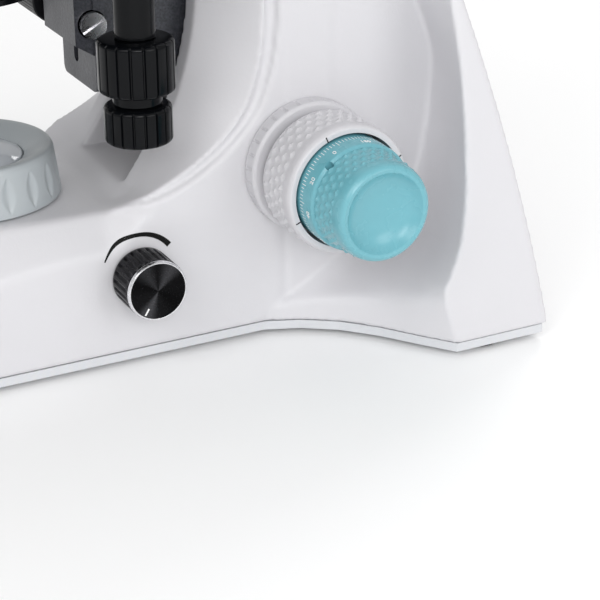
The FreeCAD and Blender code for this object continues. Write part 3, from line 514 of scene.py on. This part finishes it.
# Plan of the hollow beside the focus knob: (x, y) from the arm out to the wing, at some heights.
COVE_Z = (5.8, 10.0, 13.0, 16.0, 20.0, 25.0, 32.0, 45.0, 66.0, 95.0, 126.0, 142.0, 180.0, 232.0)
COVE = (
    ((49.0, 93.4), (53.8, 106.0), (62.2, 118.3), (73.6, 128.8), (86.5, 138.0), (98.3, 147.0)),
    ((49.0, 94.0), (54.0, 106.7), (62.4, 118.7), (73.7, 129.0), (86.4, 137.8), (97.8, 145.8)),
    ((49.0, 98.5), (54.6, 108.4), (62.8, 119.2), (73.7, 129.3), (86.2, 137.6), (97.3, 145.2)),
    ((49.0, 105.0), (55.4, 113.5), (63.0, 121.0), (73.7, 129.8), (86.0, 137.4), (96.9, 144.5)),
    ((49.0, 112.0), (55.0, 121.5), (62.5, 127.5), (73.6, 132.8), (85.6, 137.6), (96.2, 143.6)),
    ((49.0, 120.0), (54.0, 129.5), (61.5, 135.5), (72.6, 139.4), (84.5, 141.2), (95.3, 142.8)),
    ((49.0, 132.0), (52.5, 140.0), (60.0, 145.5), (71.0, 147.2), (82.5, 147.0), (93.9, 146.4)),
    ((49.0, 149.0), (50.6, 153.2), (57.0, 155.4), (68.0, 155.2), (79.5, 153.6), (91.8, 151.4)),
    ((49.0, 158.8), (49.5, 160.0), (55.0, 160.3), (65.0, 159.4), (75.5, 157.2), (88.0, 154.4)),
    ((49.0, 162.2), (49.4, 163.0), (54.0, 162.4), (62.0, 160.9), (71.0, 158.6), (82.4, 155.2)),
    ((49.0, 152.6), (49.4, 153.4), (53.0, 153.9), (58.5, 154.2), (66.0, 154.0), (76.0, 153.4)),
    ((48.3, 145.4), (48.7, 146.2), (52.0, 147.2), (57.5, 148.6), (64.0, 149.8), (72.6, 151.2)),
    ((45.6, 130.5), (46.2, 132.4), (48.0, 133.2), (51.5, 134.2), (56.5, 135.0), (63.0, 136.4)),
    ((42.0, 106.0), (42.4, 107.6), (43.6, 108.6), (45.6, 109.8), (48.0, 111.0), (51.2, 113.0)),
)


def monotone(xs, ys, x):
    """Monotone cubic interpolation of one value."""
    n = len(xs)
    h = [xs[i + 1] - xs[i] for i in range(n - 1)]
    s = [(ys[i + 1] - ys[i]) / h[i] for i in range(n - 1)]
    m = [s[0]] + [0.0 if a * b <= 0 else 2 * a * b / (a + b) for a, b in zip(s, s[1:])] + [s[-1]]
    i = min(max(int(np.searchsorted(xs, x)) - 1, 0), n - 2)
    t = (x - xs[i]) / h[i]
    t2, t3 = t * t, t * t * t
    return ((2 * t3 - 3 * t2 + 1) * ys[i] + (t3 - 2 * t2 + t) * h[i] * m[i]
            + (3 * t2 - 2 * t3) * ys[i + 1] + (t3 - t2) * h[i] * m[i + 1])


def flare_loop(z):
    """Right half of the plan outline of the arm's rear and the wing."""
    cove = []
    for k in range(6):
        cove.append(tuple(monotone(COVE_Z, [c[k][i] for c in COVE], z) for i in (0, 1)))
    tip = wing_half(z)
    line = curve_through(cove[:5] + [(tip, cove[5][1])], 2.5)
    back = rear_y(z)
    half = cove[0][0]
    return [(0.0, 104.0), (half, 104.0)] + line + [(tip, back), (0.0, back)]


def half_space(y, z, y0, z0, y1, z1):
    """Distance above the line from (y0, z0) to (y1, z1) in the YZ plane."""
    length = math.hypot(y1 - y0, z1 - z0)
    return ((z - z0) * (y1 - y0) - (y - y0) * (z1 - z0)) / length


def prism(x, y, z, loop, half):
    """Field of an X prism on a (y, z) outline."""
    return np.maximum(polygon_distance(y[0], z[0], loop)[None], x - half)


def cylinder_x(y, z, y0, z0, r):
    return np.hypot(y - y0, z - z0) - r


def slab(v, a, b):
    return np.maximum(a - v, v - b)


def stand_field(x, y, z):
    # base block
    qx, qy = x - (BASE_HALF - 20.0), np.abs(y - 20.0) - (98.0 - 20.0)
    plan = np.hypot(np.maximum(qx, 0.0), np.maximum(qy, 0.0)) + np.minimum(np.maximum(qx, qy), 0.0) - 20.0
    top = z - (PLATFORM_Z + 2.5 * smoothstep(43.0, 51.0, y))
    width = 10.0 + 3.0 * smoothstep(22.0, -20.0, y) - 10.0 * smoothstep(33.0, 53.0, y)
    shoulder = (x - (BASE_HALF - width) + (z - PLATFORM_Z) / 1.25) * 0.78
    base = smax(plan, half_space(y, z, -72.0, 34.0, -46.0, 57.0), 4.0)
    base = smax(base, half_space(y, z, -78.0, 24.0, -72.0, 34.0), 4.0)
    base = smax(base, top, 0.8)
    base = smax(base, shoulder, 1.6)
    base = np.maximum(base, y - 112.0)
    # arm
    rim = path_distance(y[0], z[0], curve_through(RIM_LINE, 2.0))[None]
    inner = path_distance(y[0], z[0], curve_through(INNER_LINE, 2.0))[None]
    outer = path_distance(y[0], z[0], curve_through(OUTER_LINE, 2.0))[None]
    flank = BASE_HALF - 7.0 * np.clip((z - 132.0) / 100.0, 0.0, 1.2) ** 1.3
    lip = 1.6 * smoothstep(-1.9, -0.3, inner) * smoothstep(0.5, 1.2, outer)
    groove = 3.0 * smoothstep(-0.2, 0.8, outer) - lip
    wall = x - (flank - 10.0 * smoothstep(53.0, 33.0, y) - groove)
    t = np.clip((x - 29.0) / 18.0, 0.0, 1.0)
    front = rim + (inner - rim) * t
    arm = smax(wall, front, 0.3)
    arm = np.maximum(arm, y - 121.0)
    arm = np.maximum(arm, 50.0 - z)
    body = smin(base, arm, 0.5)
    # rear and wings
    flare = np.full(body.shape, 20.0)
    near = np.nonzero(y[0, :, 0] > 96.0)[0][0]
    for k, height in enumerate(z[0, 0, :]):
        loop = flare_loop(float(np.clip(height, PLATE_TOP, 240.0)))
        flare[:, near:, k] = polygon_distance(x[:, 0], y[0, near:, 0][None, :], loop)
    flare = np.where(x < 20.0, np.minimum(flare, np.maximum(104.0 - y, y - rear_y(z))), flare)
    body = smin(body, flare, 0.9)
    return body


def stand_cuts(x, y, z, body):
    inside = body + 3.2
    channel = np.maximum(np.maximum(x - 21.0, slab(z, 59.5, 196.0)), slab(y, 30.0, 96.0))
    body = smax(body, -channel, 0.4)
    cavity = prism(x, y, z, [(-71.0, 0.0), (-71.0, 22.0), (-43.0, 50.0), (110.0, 50.0), (110.0, 0.0)], 43.0)
    low = prism(x, y, z, [(100.0, 0.0), (170.0, 0.0), (165.0, 60.0), (154.0, 100.0), (138.0, 150.0),
                          (100.0, 150.0)], 42.0)
    high = prism(x, y, z, [(100.0, 140.0), (137.0, 150.0), (122.0, 190.0), (108.0, 224.0),
                           (100.0, 224.0)], 32.0)
    cuts = [
        np.maximum(np.minimum(np.minimum(cavity, low), high), inside),
        np.maximum(np.maximum(x - 14.0, slab(z, 62.0, 135.0)), slab(y, 95.0, 101.0)),
        np.maximum(np.hypot(x, y) - 20.4, slab(z, 40.0, 70.0)),
        np.maximum(cylinder_x(y, z, FOCUS_Y, FOCUS_Z, 12.2), x - 60.0),
        np.maximum(np.maximum(x - 46.0, slab(z, 14.0, 42.0)), slab(y, 178.0, 200.0)),
    ]
    for cut in cuts:
        body = np.maximum(body, -cut)
    return body


def build_stand(coat):
    y0, z0 = -82.0, 2.0
    x = mirrored_axis(101.0, CELL)[:, None, None]
    y = np.arange(y0, 191.0, CELL)[None, :, None]
    z = np.arange(z0, 240.0, CELL)[None, None, :]
    field = stand_field(x, y, z)
    field = blur(field.astype(np.float32), 0.6)
    field = np.maximum(field, (PLATE_TOP + 0.25) - z)
    field = np.maximum(field, z - (SEAM_Z - 0.15))
    field = stand_cuts(x, y, z, field)
    switch_hole = (-36.5, -15.5, 165.0, 185.0, 21.0, 35.0)
    mesh = field_mesh("stand_shell", field.astype(np.float32), (0.0, y0, z0), CELL, STAND_TRIANGLES,
                      [switch_hole])
    return finish_piece("stand_shell", mesh, "stand", coat, ("stand_casting",), 60.0)


def build_carrier(coat):
    y0, z0 = -44.0, 222.0
    x = mirrored_axis(56.0, CELL)[:, None, None]
    y = np.arange(y0, 126.0, CELL)[None, :, None]
    z = np.arange(z0, 296.0, CELL)[None, None, :]
    side = [(78.0, 215.0), (78.0, 232.0), (77.0, 238.5), (73.5, 244.5), (67.5, 249.8), (59.0, 253.7),
            (49.0, 255.7), (38.0, 256.0), (-45.0, 256.0), (-45.0, 286.0), (60.0, 286.0), (76.0, 285.0),
            (88.0, 282.0),
            (97.5, 276.0), (103.5, 267.0), (rear_y(256.0), 256.0), (rear_y(244.0), 244.0),
            (rear_y(232.0), 232.0), (rear_y(215.0), 215.0)]
    plan = [(0.0, -36.5)]
    plan += [(36.5 * math.cos(a), 36.5 * math.sin(a)) for a in np.radians(np.arange(-85.0, 31.0, 5.0))]
    plan += [(33.0, 26.0), (34.5, 40.0), (37.0, 58.0), (40.5, 76.0), (42.0, 92.0), (42.4, 104.0),
             (44.0, 108.5), (48.0, 111.5), (51.2, 113.0), (50.6, rear_y(244.0)), (0.0, rear_y(244.0))]
    body = smax(polygon_distance(y[0], z[0], side)[None],
                polygon_distance(x[:, :, 0], y[:, :, 0], plan)[:, :, None], 4.0)
    body = blur(body.astype(np.float32), 1.1)
    seat = np.maximum(np.hypot(x, y) - 33.0, slab(z, 280.0, 291.4))
    body = smin(body, seat, 0.8)
    body = np.maximum(body, -np.maximum(np.hypot(x, y) - 26.6, 286.0 - z))
    body = np.maximum(body, 13.0 - np.hypot(x, y))
    body = np.maximum(body, (SEAM_Z + 0.15) - z)
    mesh = field_mesh("carrier_shell", body.astype(np.float32), (0.0, y0, z0), CELL, CARRIER_TRIANGLES)
    finish_piece("carrier_shell", mesh, "stand", coat, ("head_carrier",), 60.0)


# ---------------------------------------------------------------- focus knobs

def side_profile(profile, side):
    return [(side * h, r) for h, r in profile]


def build_coarse(side, name, node_name, material):
    columns, pitch = 34, 3.7
    knurl = pyramids(63.4, 4, pitch, columns, 1.0, 0.44)
    outer = [(60.5, 20.4), (60.5, 22.3), (61.2, 22.9)]
    outer += subdivide([(61.2, 22.9), (76.9, 22.9)], pitch / 8.0)[1:]
    outer += fillet([(76.9, 22.9), (77.6, 23.45), (80.4, 23.4), (82.0, 22.6), (82.0, 20.7)], 0.7)[1:]
    bore = fillet([(82.0, 20.7), (69.0, 20.7), (69.0, 7.1), (57.4, 7.1), (57.4, 20.4),
                   (60.5, 20.4)], 0.3)[1:-1]
    profile = side_profile(outer + bore, side)

    def shape(h, radius, angle):
        return radius + np.where(radius > 22.0, knurl(np.abs(h), angle), 0.0)

    points, faces = lathe(profile, columns * 10, "x", (FOCUS_Y, FOCUS_Z), shape, closed=True)
    make_piece(name, points, faces, "coarse_drive", material, (node_name,), 24.0)


def strip_on_face(name, x0, x1, centre, r0, r1, angle, width, body, material):
    """Small raised bar lying radially on a face across X."""
    a = math.radians(angle)
    radial = np.array([math.cos(a), math.sin(a)])
    across = np.array([-math.sin(a), math.cos(a)])
    points = []
    for x in (x0, x1):
        for r, s in ((r0, -1), (r1, -1), (r1, 1), (r0, 1)):
            p = radial * r + across * 0.5 * width * s
            points.append((x, centre[0] + p[0], centre[1] + p[1]))
    faces = [(0, 1, 2, 3), (4, 5, 6, 7), (0, 1, 5, 4), (1, 2, 6, 5), (2, 3, 7, 6), (3, 0, 4, 7)]
    return make_piece(name, points, faces, body, material)


def build_fine(side, name, node_name, material):
    columns, pitch = 32, 2.9
    knurl = pyramids(92.3, 4, pitch, columns, 0.85, 0.44)
    dish = [(106.6, 13.9), (107.3, 14.5), (107.6, 15.3)]
    face = [(102.6, 0.0), (102.65, 3.0), (102.9, 6.0), (103.5, 9.0), (104.5, 11.4), (105.6, 13.0)]
    cap = [(107.6, 15.6), (107.3, 16.3), (106.6, 16.95), (105.4, 17.4), (103.4, 17.65), (102.6, 17.7)]
    band = subdivide([(102.2, 17.35), (90.9, 18.35)], pitch / 8.0)
    collar = [(90.6, 18.8), (90.2, 19.3), (89.6, COLLAR_R), (82.6, 19.6), (70.0, 19.6), (69.6, 19.3),
              (69.6, 4.02),
              (84.0, 4.02), (84.0, 0.0)]
    profile = side_profile(face + dish[:-1] + cap + band + collar, side)

    def shape(h, radius, angle):
        bump = knurl(np.abs(h), angle)
        return radius + np.where((np.abs(h) > 90.8) & (np.abs(h) < 102.3), bump, 0.0)

    points, faces = lathe(profile, columns * 10, "x", (FOCUS_Y, FOCUS_Z), shape)
    knob = make_piece(name, points, faces, "fine_drive", material, (node_name,), 24.0)
    drill_set_screw(knob, side)


def drill_set_screw(knob, side):
    """Radial hole of the set screw, cut through the collar."""
    out = Vector((0.0, math.cos(SET_SCREW_ANGLE), math.sin(SET_SCREW_ANGLE)))
    drill = bmesh.new()
    at = row(side * SET_SCREW_X, FOCUS_Y, FOCUS_Z) + out * 19.0 * MM
    turn = out.to_track_quat("Z", "Y").to_matrix().to_4x4()
    bmesh.ops.create_cone(drill, cap_ends=True, segments=32, radius1=SET_SCREW_R * MM,
                          radius2=SET_SCREW_R * MM, depth=5.0 * MM,
                          matrix=Matrix.Translation(at) @ turn)
    mesh = bpy.data.meshes.new("drill")
    drill.to_mesh(mesh)
    drill.free()
    tool = bpy.data.objects.new("drill", mesh)
    bpy.context.scene.collection.objects.link(tool)
    cut = knob.modifiers.new("cut", "BOOLEAN")
    cut.operation = "DIFFERENCE"
    cut.solver = "EXACT"
    cut.object = tool
    bpy.context.view_layer.update()
    dg = bpy.context.evaluated_depsgraph_get()
    done = bpy.data.meshes.new_from_object(knob.evaluated_get(dg))
    knob.modifiers.clear()
    knob.data = done
    done.set_sharp_from_angle(angle=math.radians(30.0))
    bpy.data.objects.remove(tool)


def around_focus(radius, angle, x):
    return (x, FOCUS_Y + radius * math.cos(angle), FOCUS_Z + radius * math.sin(angle))


def build_scale(side, material):
    """Raised tick marks and numbers round the collar of a fine knob."""
    points, faces = [], []
    for i in range(100):
        middle = 2.0 * math.pi * i / 100
        long = 3.0 if i % 10 == 0 else 2.4 if i % 5 == 0 else 1.8
        half = 0.0058
        base = len(points)
        for radius in (COLLAR_R, COLLAR_R + 0.14):
            for a, x in ((middle - half, 82.8), (middle + half, 82.8), (middle + half, 82.8 + long),
                         (middle - half, 82.8 + long)):
                points.append(around_focus(radius, a, side * x))
        faces += [tuple(base + k for k in f) for f in
                  ((0, 1, 2, 3), (4, 5, 6, 7), (0, 1, 5, 4), (1, 2, 6, 5), (2, 3, 7, 6), (3, 0, 4, 7))]
    name = "fine_scale_right" if side > 0 else "fine_scale_left"
    make_piece(name, points, faces, "fine_drive", material)
    for i in range(10):
        text = bpy.data.curves.new("number", "FONT")
        text.body = str(i * 20)
        text.size = 2.7
        text.extrude = 0.07
        text.align_x = "CENTER"
        holder = bpy.data.objects.new("number", text)
        bpy.context.scene.collection.objects.link(holder)
        bpy.context.view_layer.update()
        mesh = bpy.data.meshes.new_from_object(holder.evaluated_get(bpy.context.evaluated_depsgraph_get()))
        bpy.data.objects.remove(holder)
        middle = math.radians(118.0) + side * 2.0 * math.pi * i / 10
        for v in mesh.vertices:
            angle = middle - side * v.co.x / 19.6
            radius = COLLAR_TEXT_R + v.co.z
            p = around_focus(radius, angle, side * (89.0 - v.co.y))
            v.co = row(*p)
        label = "fine_number_%s_%d" % ("right" if side > 0 else "left", i)
        finish_piece(label, mesh, "fine_drive", material)


def build_tension(material):
    profile = [(49.3, 12.3), (49.3, 23.9), (49.7, 24.3)] + subdivide([(49.7, 24.3), (54.3, 24.3)], 0.6)[1:]
    profile += fillet([(54.3, 24.3), (55.2, 24.2), (56.0, 23.2), (56.0, 21.8), (56.0, 12.3)], 0.4)[1:]

    def shape(h, radius, angle):
        u = np.mod(angle * 30 / (2.0 * math.pi), 1.0)
        groove = smoothstep(0.10, 0.04, np.abs(u - 0.5))
        groove = groove * smoothstep(49.5, 50.2, h) * smoothstep(54.6, 54.0, h)
        return radius - np.where(radius > 24.0, 0.55 * groove, 0.0)

    points, faces = lathe(profile, 480, "x", (FOCUS_Y, FOCUS_Z), shape, closed=True)
    make_piece("tension_wheel", points, faces, "tension_control", material,
               ("tension_ring",))


# ---------------------------------------------------------------- other controls

def build_brightness(side_material, chamfer_material, face_material):
    centre = (LIGHT_Y, LIGHT_Z)
    profile = [(37.0, 0.0), (37.0, 2.5), (49.7, 2.5), (49.7, 10.4), (50.0, 10.8), (50.6, 11.1)]
    profile += subdivide([(50.6, 11.1), (63.3, 11.1)], 1.0)[1:] + [(63.7, 11.0), (63.8, 10.9), (63.8, 0.0)]

    def shape(h, radius, angle):
        u = np.mod(angle * 24 / (2.0 * math.pi), 1.0)
        groove = smoothstep(0.30, 0.08, np.abs(u - 0.5))
        groove = groove * smoothstep(51.2, 52.4, h) * smoothstep(63.0, 62.0, h)
        return radius - np.where(radius > 11.0, 0.55 * groove, 0.0)

    points, faces = lathe(profile, 384, "x", centre, shape)
    make_piece("light_knob", points, faces, "light_control", side_material,
               ("brightness_knob",))
    ring = [(63.5, 9.0), (63.5, 11.0), (63.9, 11.05), (64.6, 10.7), (64.88, 10.5), (64.9, 10.4), (64.8, 10.2),
            (64.7, 9.0)]
    points, faces = lathe(ring, 192, "x", centre, closed=True)
    make_piece("light_knob_chamfer", points, faces, "light_control", chamfer_material)
    disc = [(63.6, 0.0), (63.6, 10.2), (64.78, 10.25), (64.85, 10.1), (64.8, 9.8), (64.8, 0.0)]
    points, faces = lathe(disc, 192, "x", centre)
    make_piece("light_knob_face", points, faces, "light_control", face_material)


def build_arc_mark(material, shell):
    """Tapering mark on the casting above the brightness knob, thin at its low end."""
    def skin_x(y, z):
        hit, place, _, _ = shell.ray_cast(row(80.0, y, z), (-1.0, 0.0, 0.0))
        return place.x / MM if hit else BASE_HALF

    points, faces = [], []
    count = 48
    for i in range(count + 1):
        t = i / count
        a = math.radians(150.5 - 109.8 * t)
        middle = 15.1 + 0.5 * math.sin(math.pi * t) - 0.35 * t
        half = 0.24 + 0.80 * t ** 0.75
        low, high = middle - half, middle + half
        for lift, r in ((-0.4, low), (-0.4, high), (0.1, high), (0.1, low)):
            y, z = LIGHT_Y + r * math.cos(a), LIGHT_Z + r * math.sin(a)
            points.append((skin_x(y, z) + lift, y, z))
    for i in range(count):
        for k in range(4):
            l = (k + 1) % 4
            faces.append((4 * i + k, 4 * i + l, 4 * i + 4 + l, 4 * i + 4 + k))
    faces += [(0, 1, 2, 3), tuple(4 * count + k for k in range(4))]
    make_piece("brightness_mark", points, faces, "stand", material)


def build_field_ring(material):
    bore = [(72.4, 22.0), (71.2, 20.8), (57.3, 20.6), (57.3, 32.4), (57.6, 33.0)]
    wall = subdivide([(58.0, 33.4), (73.6, 31.4)], 0.6)
    lip = fillet([(73.6, 31.4), (75.3, 30.6), (75.4, 28.6), (74.6, 26.2), (73.3, 23.6),
                  (72.4, 22.0)], 1.2)[1:]

    def shape(h, radius, angle):
        u = np.abs(np.mod(angle * 20 / (2.0 * math.pi), 1.0) - 0.5) * 2.0
        v = np.clip(1.0 - ((h - 65.6) / 6.2) ** 2, 0.0, 1.0)
        leaf = 0.62 * v
        depth = np.where(leaf > 1e-3, np.clip(1.0 - u / np.maximum(leaf, 1e-3), 0.0, 1.0), 0.0)
        return radius - 0.9 * smoothstep(0.0, 1.0, depth) * np.sqrt(v)

    points, faces = lathe(bore + wall + lip[:-1], 480, "z", (0.0, 0.0), shape, closed=True)
    make_piece("field_wheel", points, faces, "field_ring", material, ("field_diaphragm_ring",))


def build_field_dome(material):
    """Domed glass that closes the ring from below."""
    dome = [(60.0, 0.0), (60.0, 20.3), (71.3, 20.3), (71.8, 19.9), (72.6, 17.6), (73.7, 13.4), (74.6, 8.6),
            (75.1, 4.2), (75.25, 0.0)]
    points, faces = lathe(fillet(dome, [0.0, 0.0, 0.2, 0.3, 1.0, 3.0, 3.0, 2.0, 0.0]), 160, "z", (0.0, 0.0))
    make_piece("field_dome", points, faces, "stand", material, ("field_lens",), 50.0)


def build_coaxial(name, body, material, node_name, z0, z1, r, count, extra_low, extra_high):
    wall = subdivide([(z0 + 1.3, r), (z1 - 1.3, r)], 0.8)
    profile = extra_low + [(z0, r - 1.9), (z0 + 0.25, r - 0.9), (z0 + 0.6, r - 0.35)] + wall
    profile += [(z1 - 0.6, r - 0.35), (z1 - 0.25, r - 0.9), (z1, r - 1.9)] + extra_high

    def shape(h, radius, angle):
        u = np.abs(np.mod(angle * count / (2.0 * math.pi), 1.0) - 0.5)
        groove = smoothstep(0.11, 0.05, u)
        return radius - np.where(radius > r - 0.5, 0.75 * groove, 0.0)

    closed = extra_low[0][1] > 0.0
    points, faces = lathe(profile, count * 24, "z", STAGE_KNOB_AT, shape, closed=closed)
    make_piece(name, points, faces, body, material, (node_name,), 35.0)


# ---------------------------------------------------------------- finish of the carried-over CAD nodes

def dress(names, material, bevel=0.0):
    for name in names:
        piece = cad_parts[name]
        piece.data.materials.clear()
        piece.data.materials.append(material)
        if bevel > 0.0:
            edge = piece.modifiers.new("edge", "BEVEL")
            edge.width = bevel * MM
            edge.segments = 2
            edge.limit_method = "ANGLE"
            edge.angle_limit = math.radians(35.0)


def build():
    coat = powder_coat("white_coat", (0.624, 0.618, 0.641), (0.659, 0.653, 0.676), depth=0.0001)
    off_white = moulded("off_white", (0.565, 0.559, 0.582), (0.635, 0.629, 0.653), 0.42)
    teal = moulded("teal", (0.143, 0.39, 0.453), (0.157, 0.42, 0.483), 0.26, 0.000008)
    ring_grey = moulded("ring_grey", (0.39, 0.424, 0.442), (0.437, 0.47, 0.488), 0.35)
    plate_grey = moulded("plate_grey", (0.588, 0.60, 0.624), (0.659, 0.67, 0.694), 0.4)
    gloss_black = moulded("gloss_black", (0.002, 0.0025, 0.003), (0.004, 0.0045, 0.006), 0.16,
                          Specular_IOR_Level=0.14)
    satin_black = moulded("satin_black", (0.004, 0.004, 0.005), (0.009, 0.009, 0.011), 0.34,
                          Specular_IOR_Level=0.22)
    hammered = powder_coat("hammered_grey", (0.0, 0.0, 0.002), (0.095, 0.10, 0.118), 0.38, 0.0003, 1300.0,
                           Specular_IOR_Level=0.45)
    rubber = moulded("rubber", (0.012, 0.012, 0.012), (0.024, 0.024, 0.024), 0.75, 0.00004, 900.0)
    anodised = metal("anodised_black", (0.008, 0.008, 0.01), (0.016, 0.016, 0.019), 0.3)
    chrome = metal("chrome", (0.80, 0.80, 0.82), (0.84, 0.84, 0.86), 0.26, scale=60.0, depth=0.000002)
    bright = metal("bright_metal", (0.72, 0.72, 0.74), (0.86, 0.86, 0.88), 0.22)
    steel = metal("steel", (0.42, 0.42, 0.44), (0.58, 0.58, 0.6), 0.34)
    brass = metal("brass", (0.52, 0.38, 0.16), (0.7, 0.53, 0.25), 0.34)
    alloy = metal("alloy", (0.46, 0.47, 0.49), (0.6, 0.61, 0.63), 0.42)
    board = moulded("board_green", (0.008, 0.09, 0.035), (0.015, 0.14, 0.05), 0.45)
    lens = glass("lens", (0.92, 0.96, 1.0))
    opal = moulded("opal_glass", (0.74, 0.78, 0.83), (0.78, 0.82, 0.87), 0.08, 0.000002,
                   Transmission_Weight=0.25)
    print_white = moulded("print_white", (0.80, 0.80, 0.80), (0.88, 0.88, 0.88), 0.5)
    print_black = moulded("print_black", (0.002, 0.002, 0.002), (0.004, 0.004, 0.004), 0.5,
                          Specular_IOR_Level=0.15)
    # The levels below are painted reflection: bright and dull sectors set in the spun face's colour, not lit.
    face = spun("spun_face_painted_sheen", ((0.0, 0.012), (1.0, 0.012), (0.08, 0.07), (0.16, 0.01), (0.33, 0.006),
                              (0.42, 0.035), (0.5, 0.01), (0.6, 0.055), (0.68, 0.008), (0.86, 0.006)),
                0.28, Anisotropic=0.9)

    shell = build_stand(coat)
    build_carrier(coat)
    build_tension(off_white)
    build_coarse(1, "coarse_wheel_right", "coarse_knob_right", off_white)
    build_coarse(-1, "coarse_wheel_left", "coarse_knob_left", off_white)
    for side, label in ((1, "right"), (-1, "left")):
        for i, angle in enumerate((113.9, 25.0, -156.6)):
            strip_on_face("coarse_tick_%s_%d" % (label, i), side * 81.8, side * 82.06, (FOCUS_Y, FOCUS_Z),
                          20.5, 22.5, angle, 0.42, "coarse_drive", print_black)
    build_fine(1, "fine_wheel_right", "fine_knob_right", teal)
    build_fine(-1, "fine_wheel_left", "fine_knob_left", teal)
    build_scale(1, print_white)
    build_scale(-1, print_white)
    build_brightness(anodised, bright, face)
    strip_on_face("light_pointer", 64.7, 64.98, (LIGHT_Y, LIGHT_Z), 6.9, 9.6, -122.5, 0.55, "light_control",
                  print_white)
    build_arc_mark(print_black, shell)
    build_field_ring(ring_grey)
    build_field_dome(opal)
    build_coaxial("y_wheel", "stage_y_drive", gloss_black, "stage_y_knob", 101.8, 120.3, 13.2, 18,
                  [(97.7, 3.5), (97.7, 8.2), (98.0, 8.5), (101.6, 8.5), (101.8, 8.7)],
                  [(120.3, 4.3), (156.0, 4.3), (156.0, 3.5)])
    build_coaxial("x_wheel", "stage_x_drive", gloss_black, "stage_x_knob", 84.0, 97.3, 11.7, 18,
                  [(84.0, 0.0), (84.0, 7.0)], [(97.3, 3.4), (162.0, 3.4), (162.0, 0.0)])

    dress(["base_plate"], plate_grey, 0.4)
    dress(["rubber_feet"], rubber)
    dress(["power_inlet", "switch_frame", "condenser_knob", "dioptre_ring"], satin_black)
    dress(["rocker_switch", "condenser_body", "stage_knob_tube"], gloss_black)
    dress(["lamp_housing", "field_iris", "fine_set_screws"], anodised)
    dress(["collector_lens", "condenser_lens"], lens)
    dress(["led_board"], print_white)
    dress(["heat_sink", "gear_frame", "fine_carriage"], alloy)
    dress(["driver_board"], board)
    dress(["potentiometer", "coarse_shaft", "fine_shaft", "guide_rails", "base_screws"], steel)
    dress(["focus_bushes", "lift_gear", "focus_rack"], brass)
    dress(["focus_slide", "stage_bracket"], hammered, 0.35)
    dress(["condenser_pinion", "head_lock_screw"], chrome, 0.3)
    dress(["condenser_holder", "aperture_lever", "stage_base", "stage_top", "cross_slide", "slide_finger",
           "nosepiece_turret", "eyepiece_right", "eyepiece_left"], satin_black, 0.3)
    dress(["nosepiece_mount", "head_body", "ocular_arm_right", "ocular_arm_left"], coat, 0.6)
    dress(["objective_4x", "objective_10x", "objective_40x", "objective_100x"], bright, 0.15)


def build_floor():
    size = 6.0
    mesh = bpy.data.meshes.new("floor")
    corners = [(-size, -size, 0), (size, -size, 0), (size, size, 0), (-size, size, 0)]
    mesh.from_pydata(corners, [], [(0, 1, 2, 3)])
    floor = bpy.data.objects.new("floor", mesh)
    bpy.context.scene.collection.objects.link(floor)
    paper = new_material("paper", (0.97, 0.97, 0.97), 0.9)
    tint(paper, object_noise(paper, 2.0), (0.965, 0.965, 0.965), (0.975, 0.975, 0.975))
    mesh.materials.append(paper)


add_camera()
add_lights()
build()
build_floor()
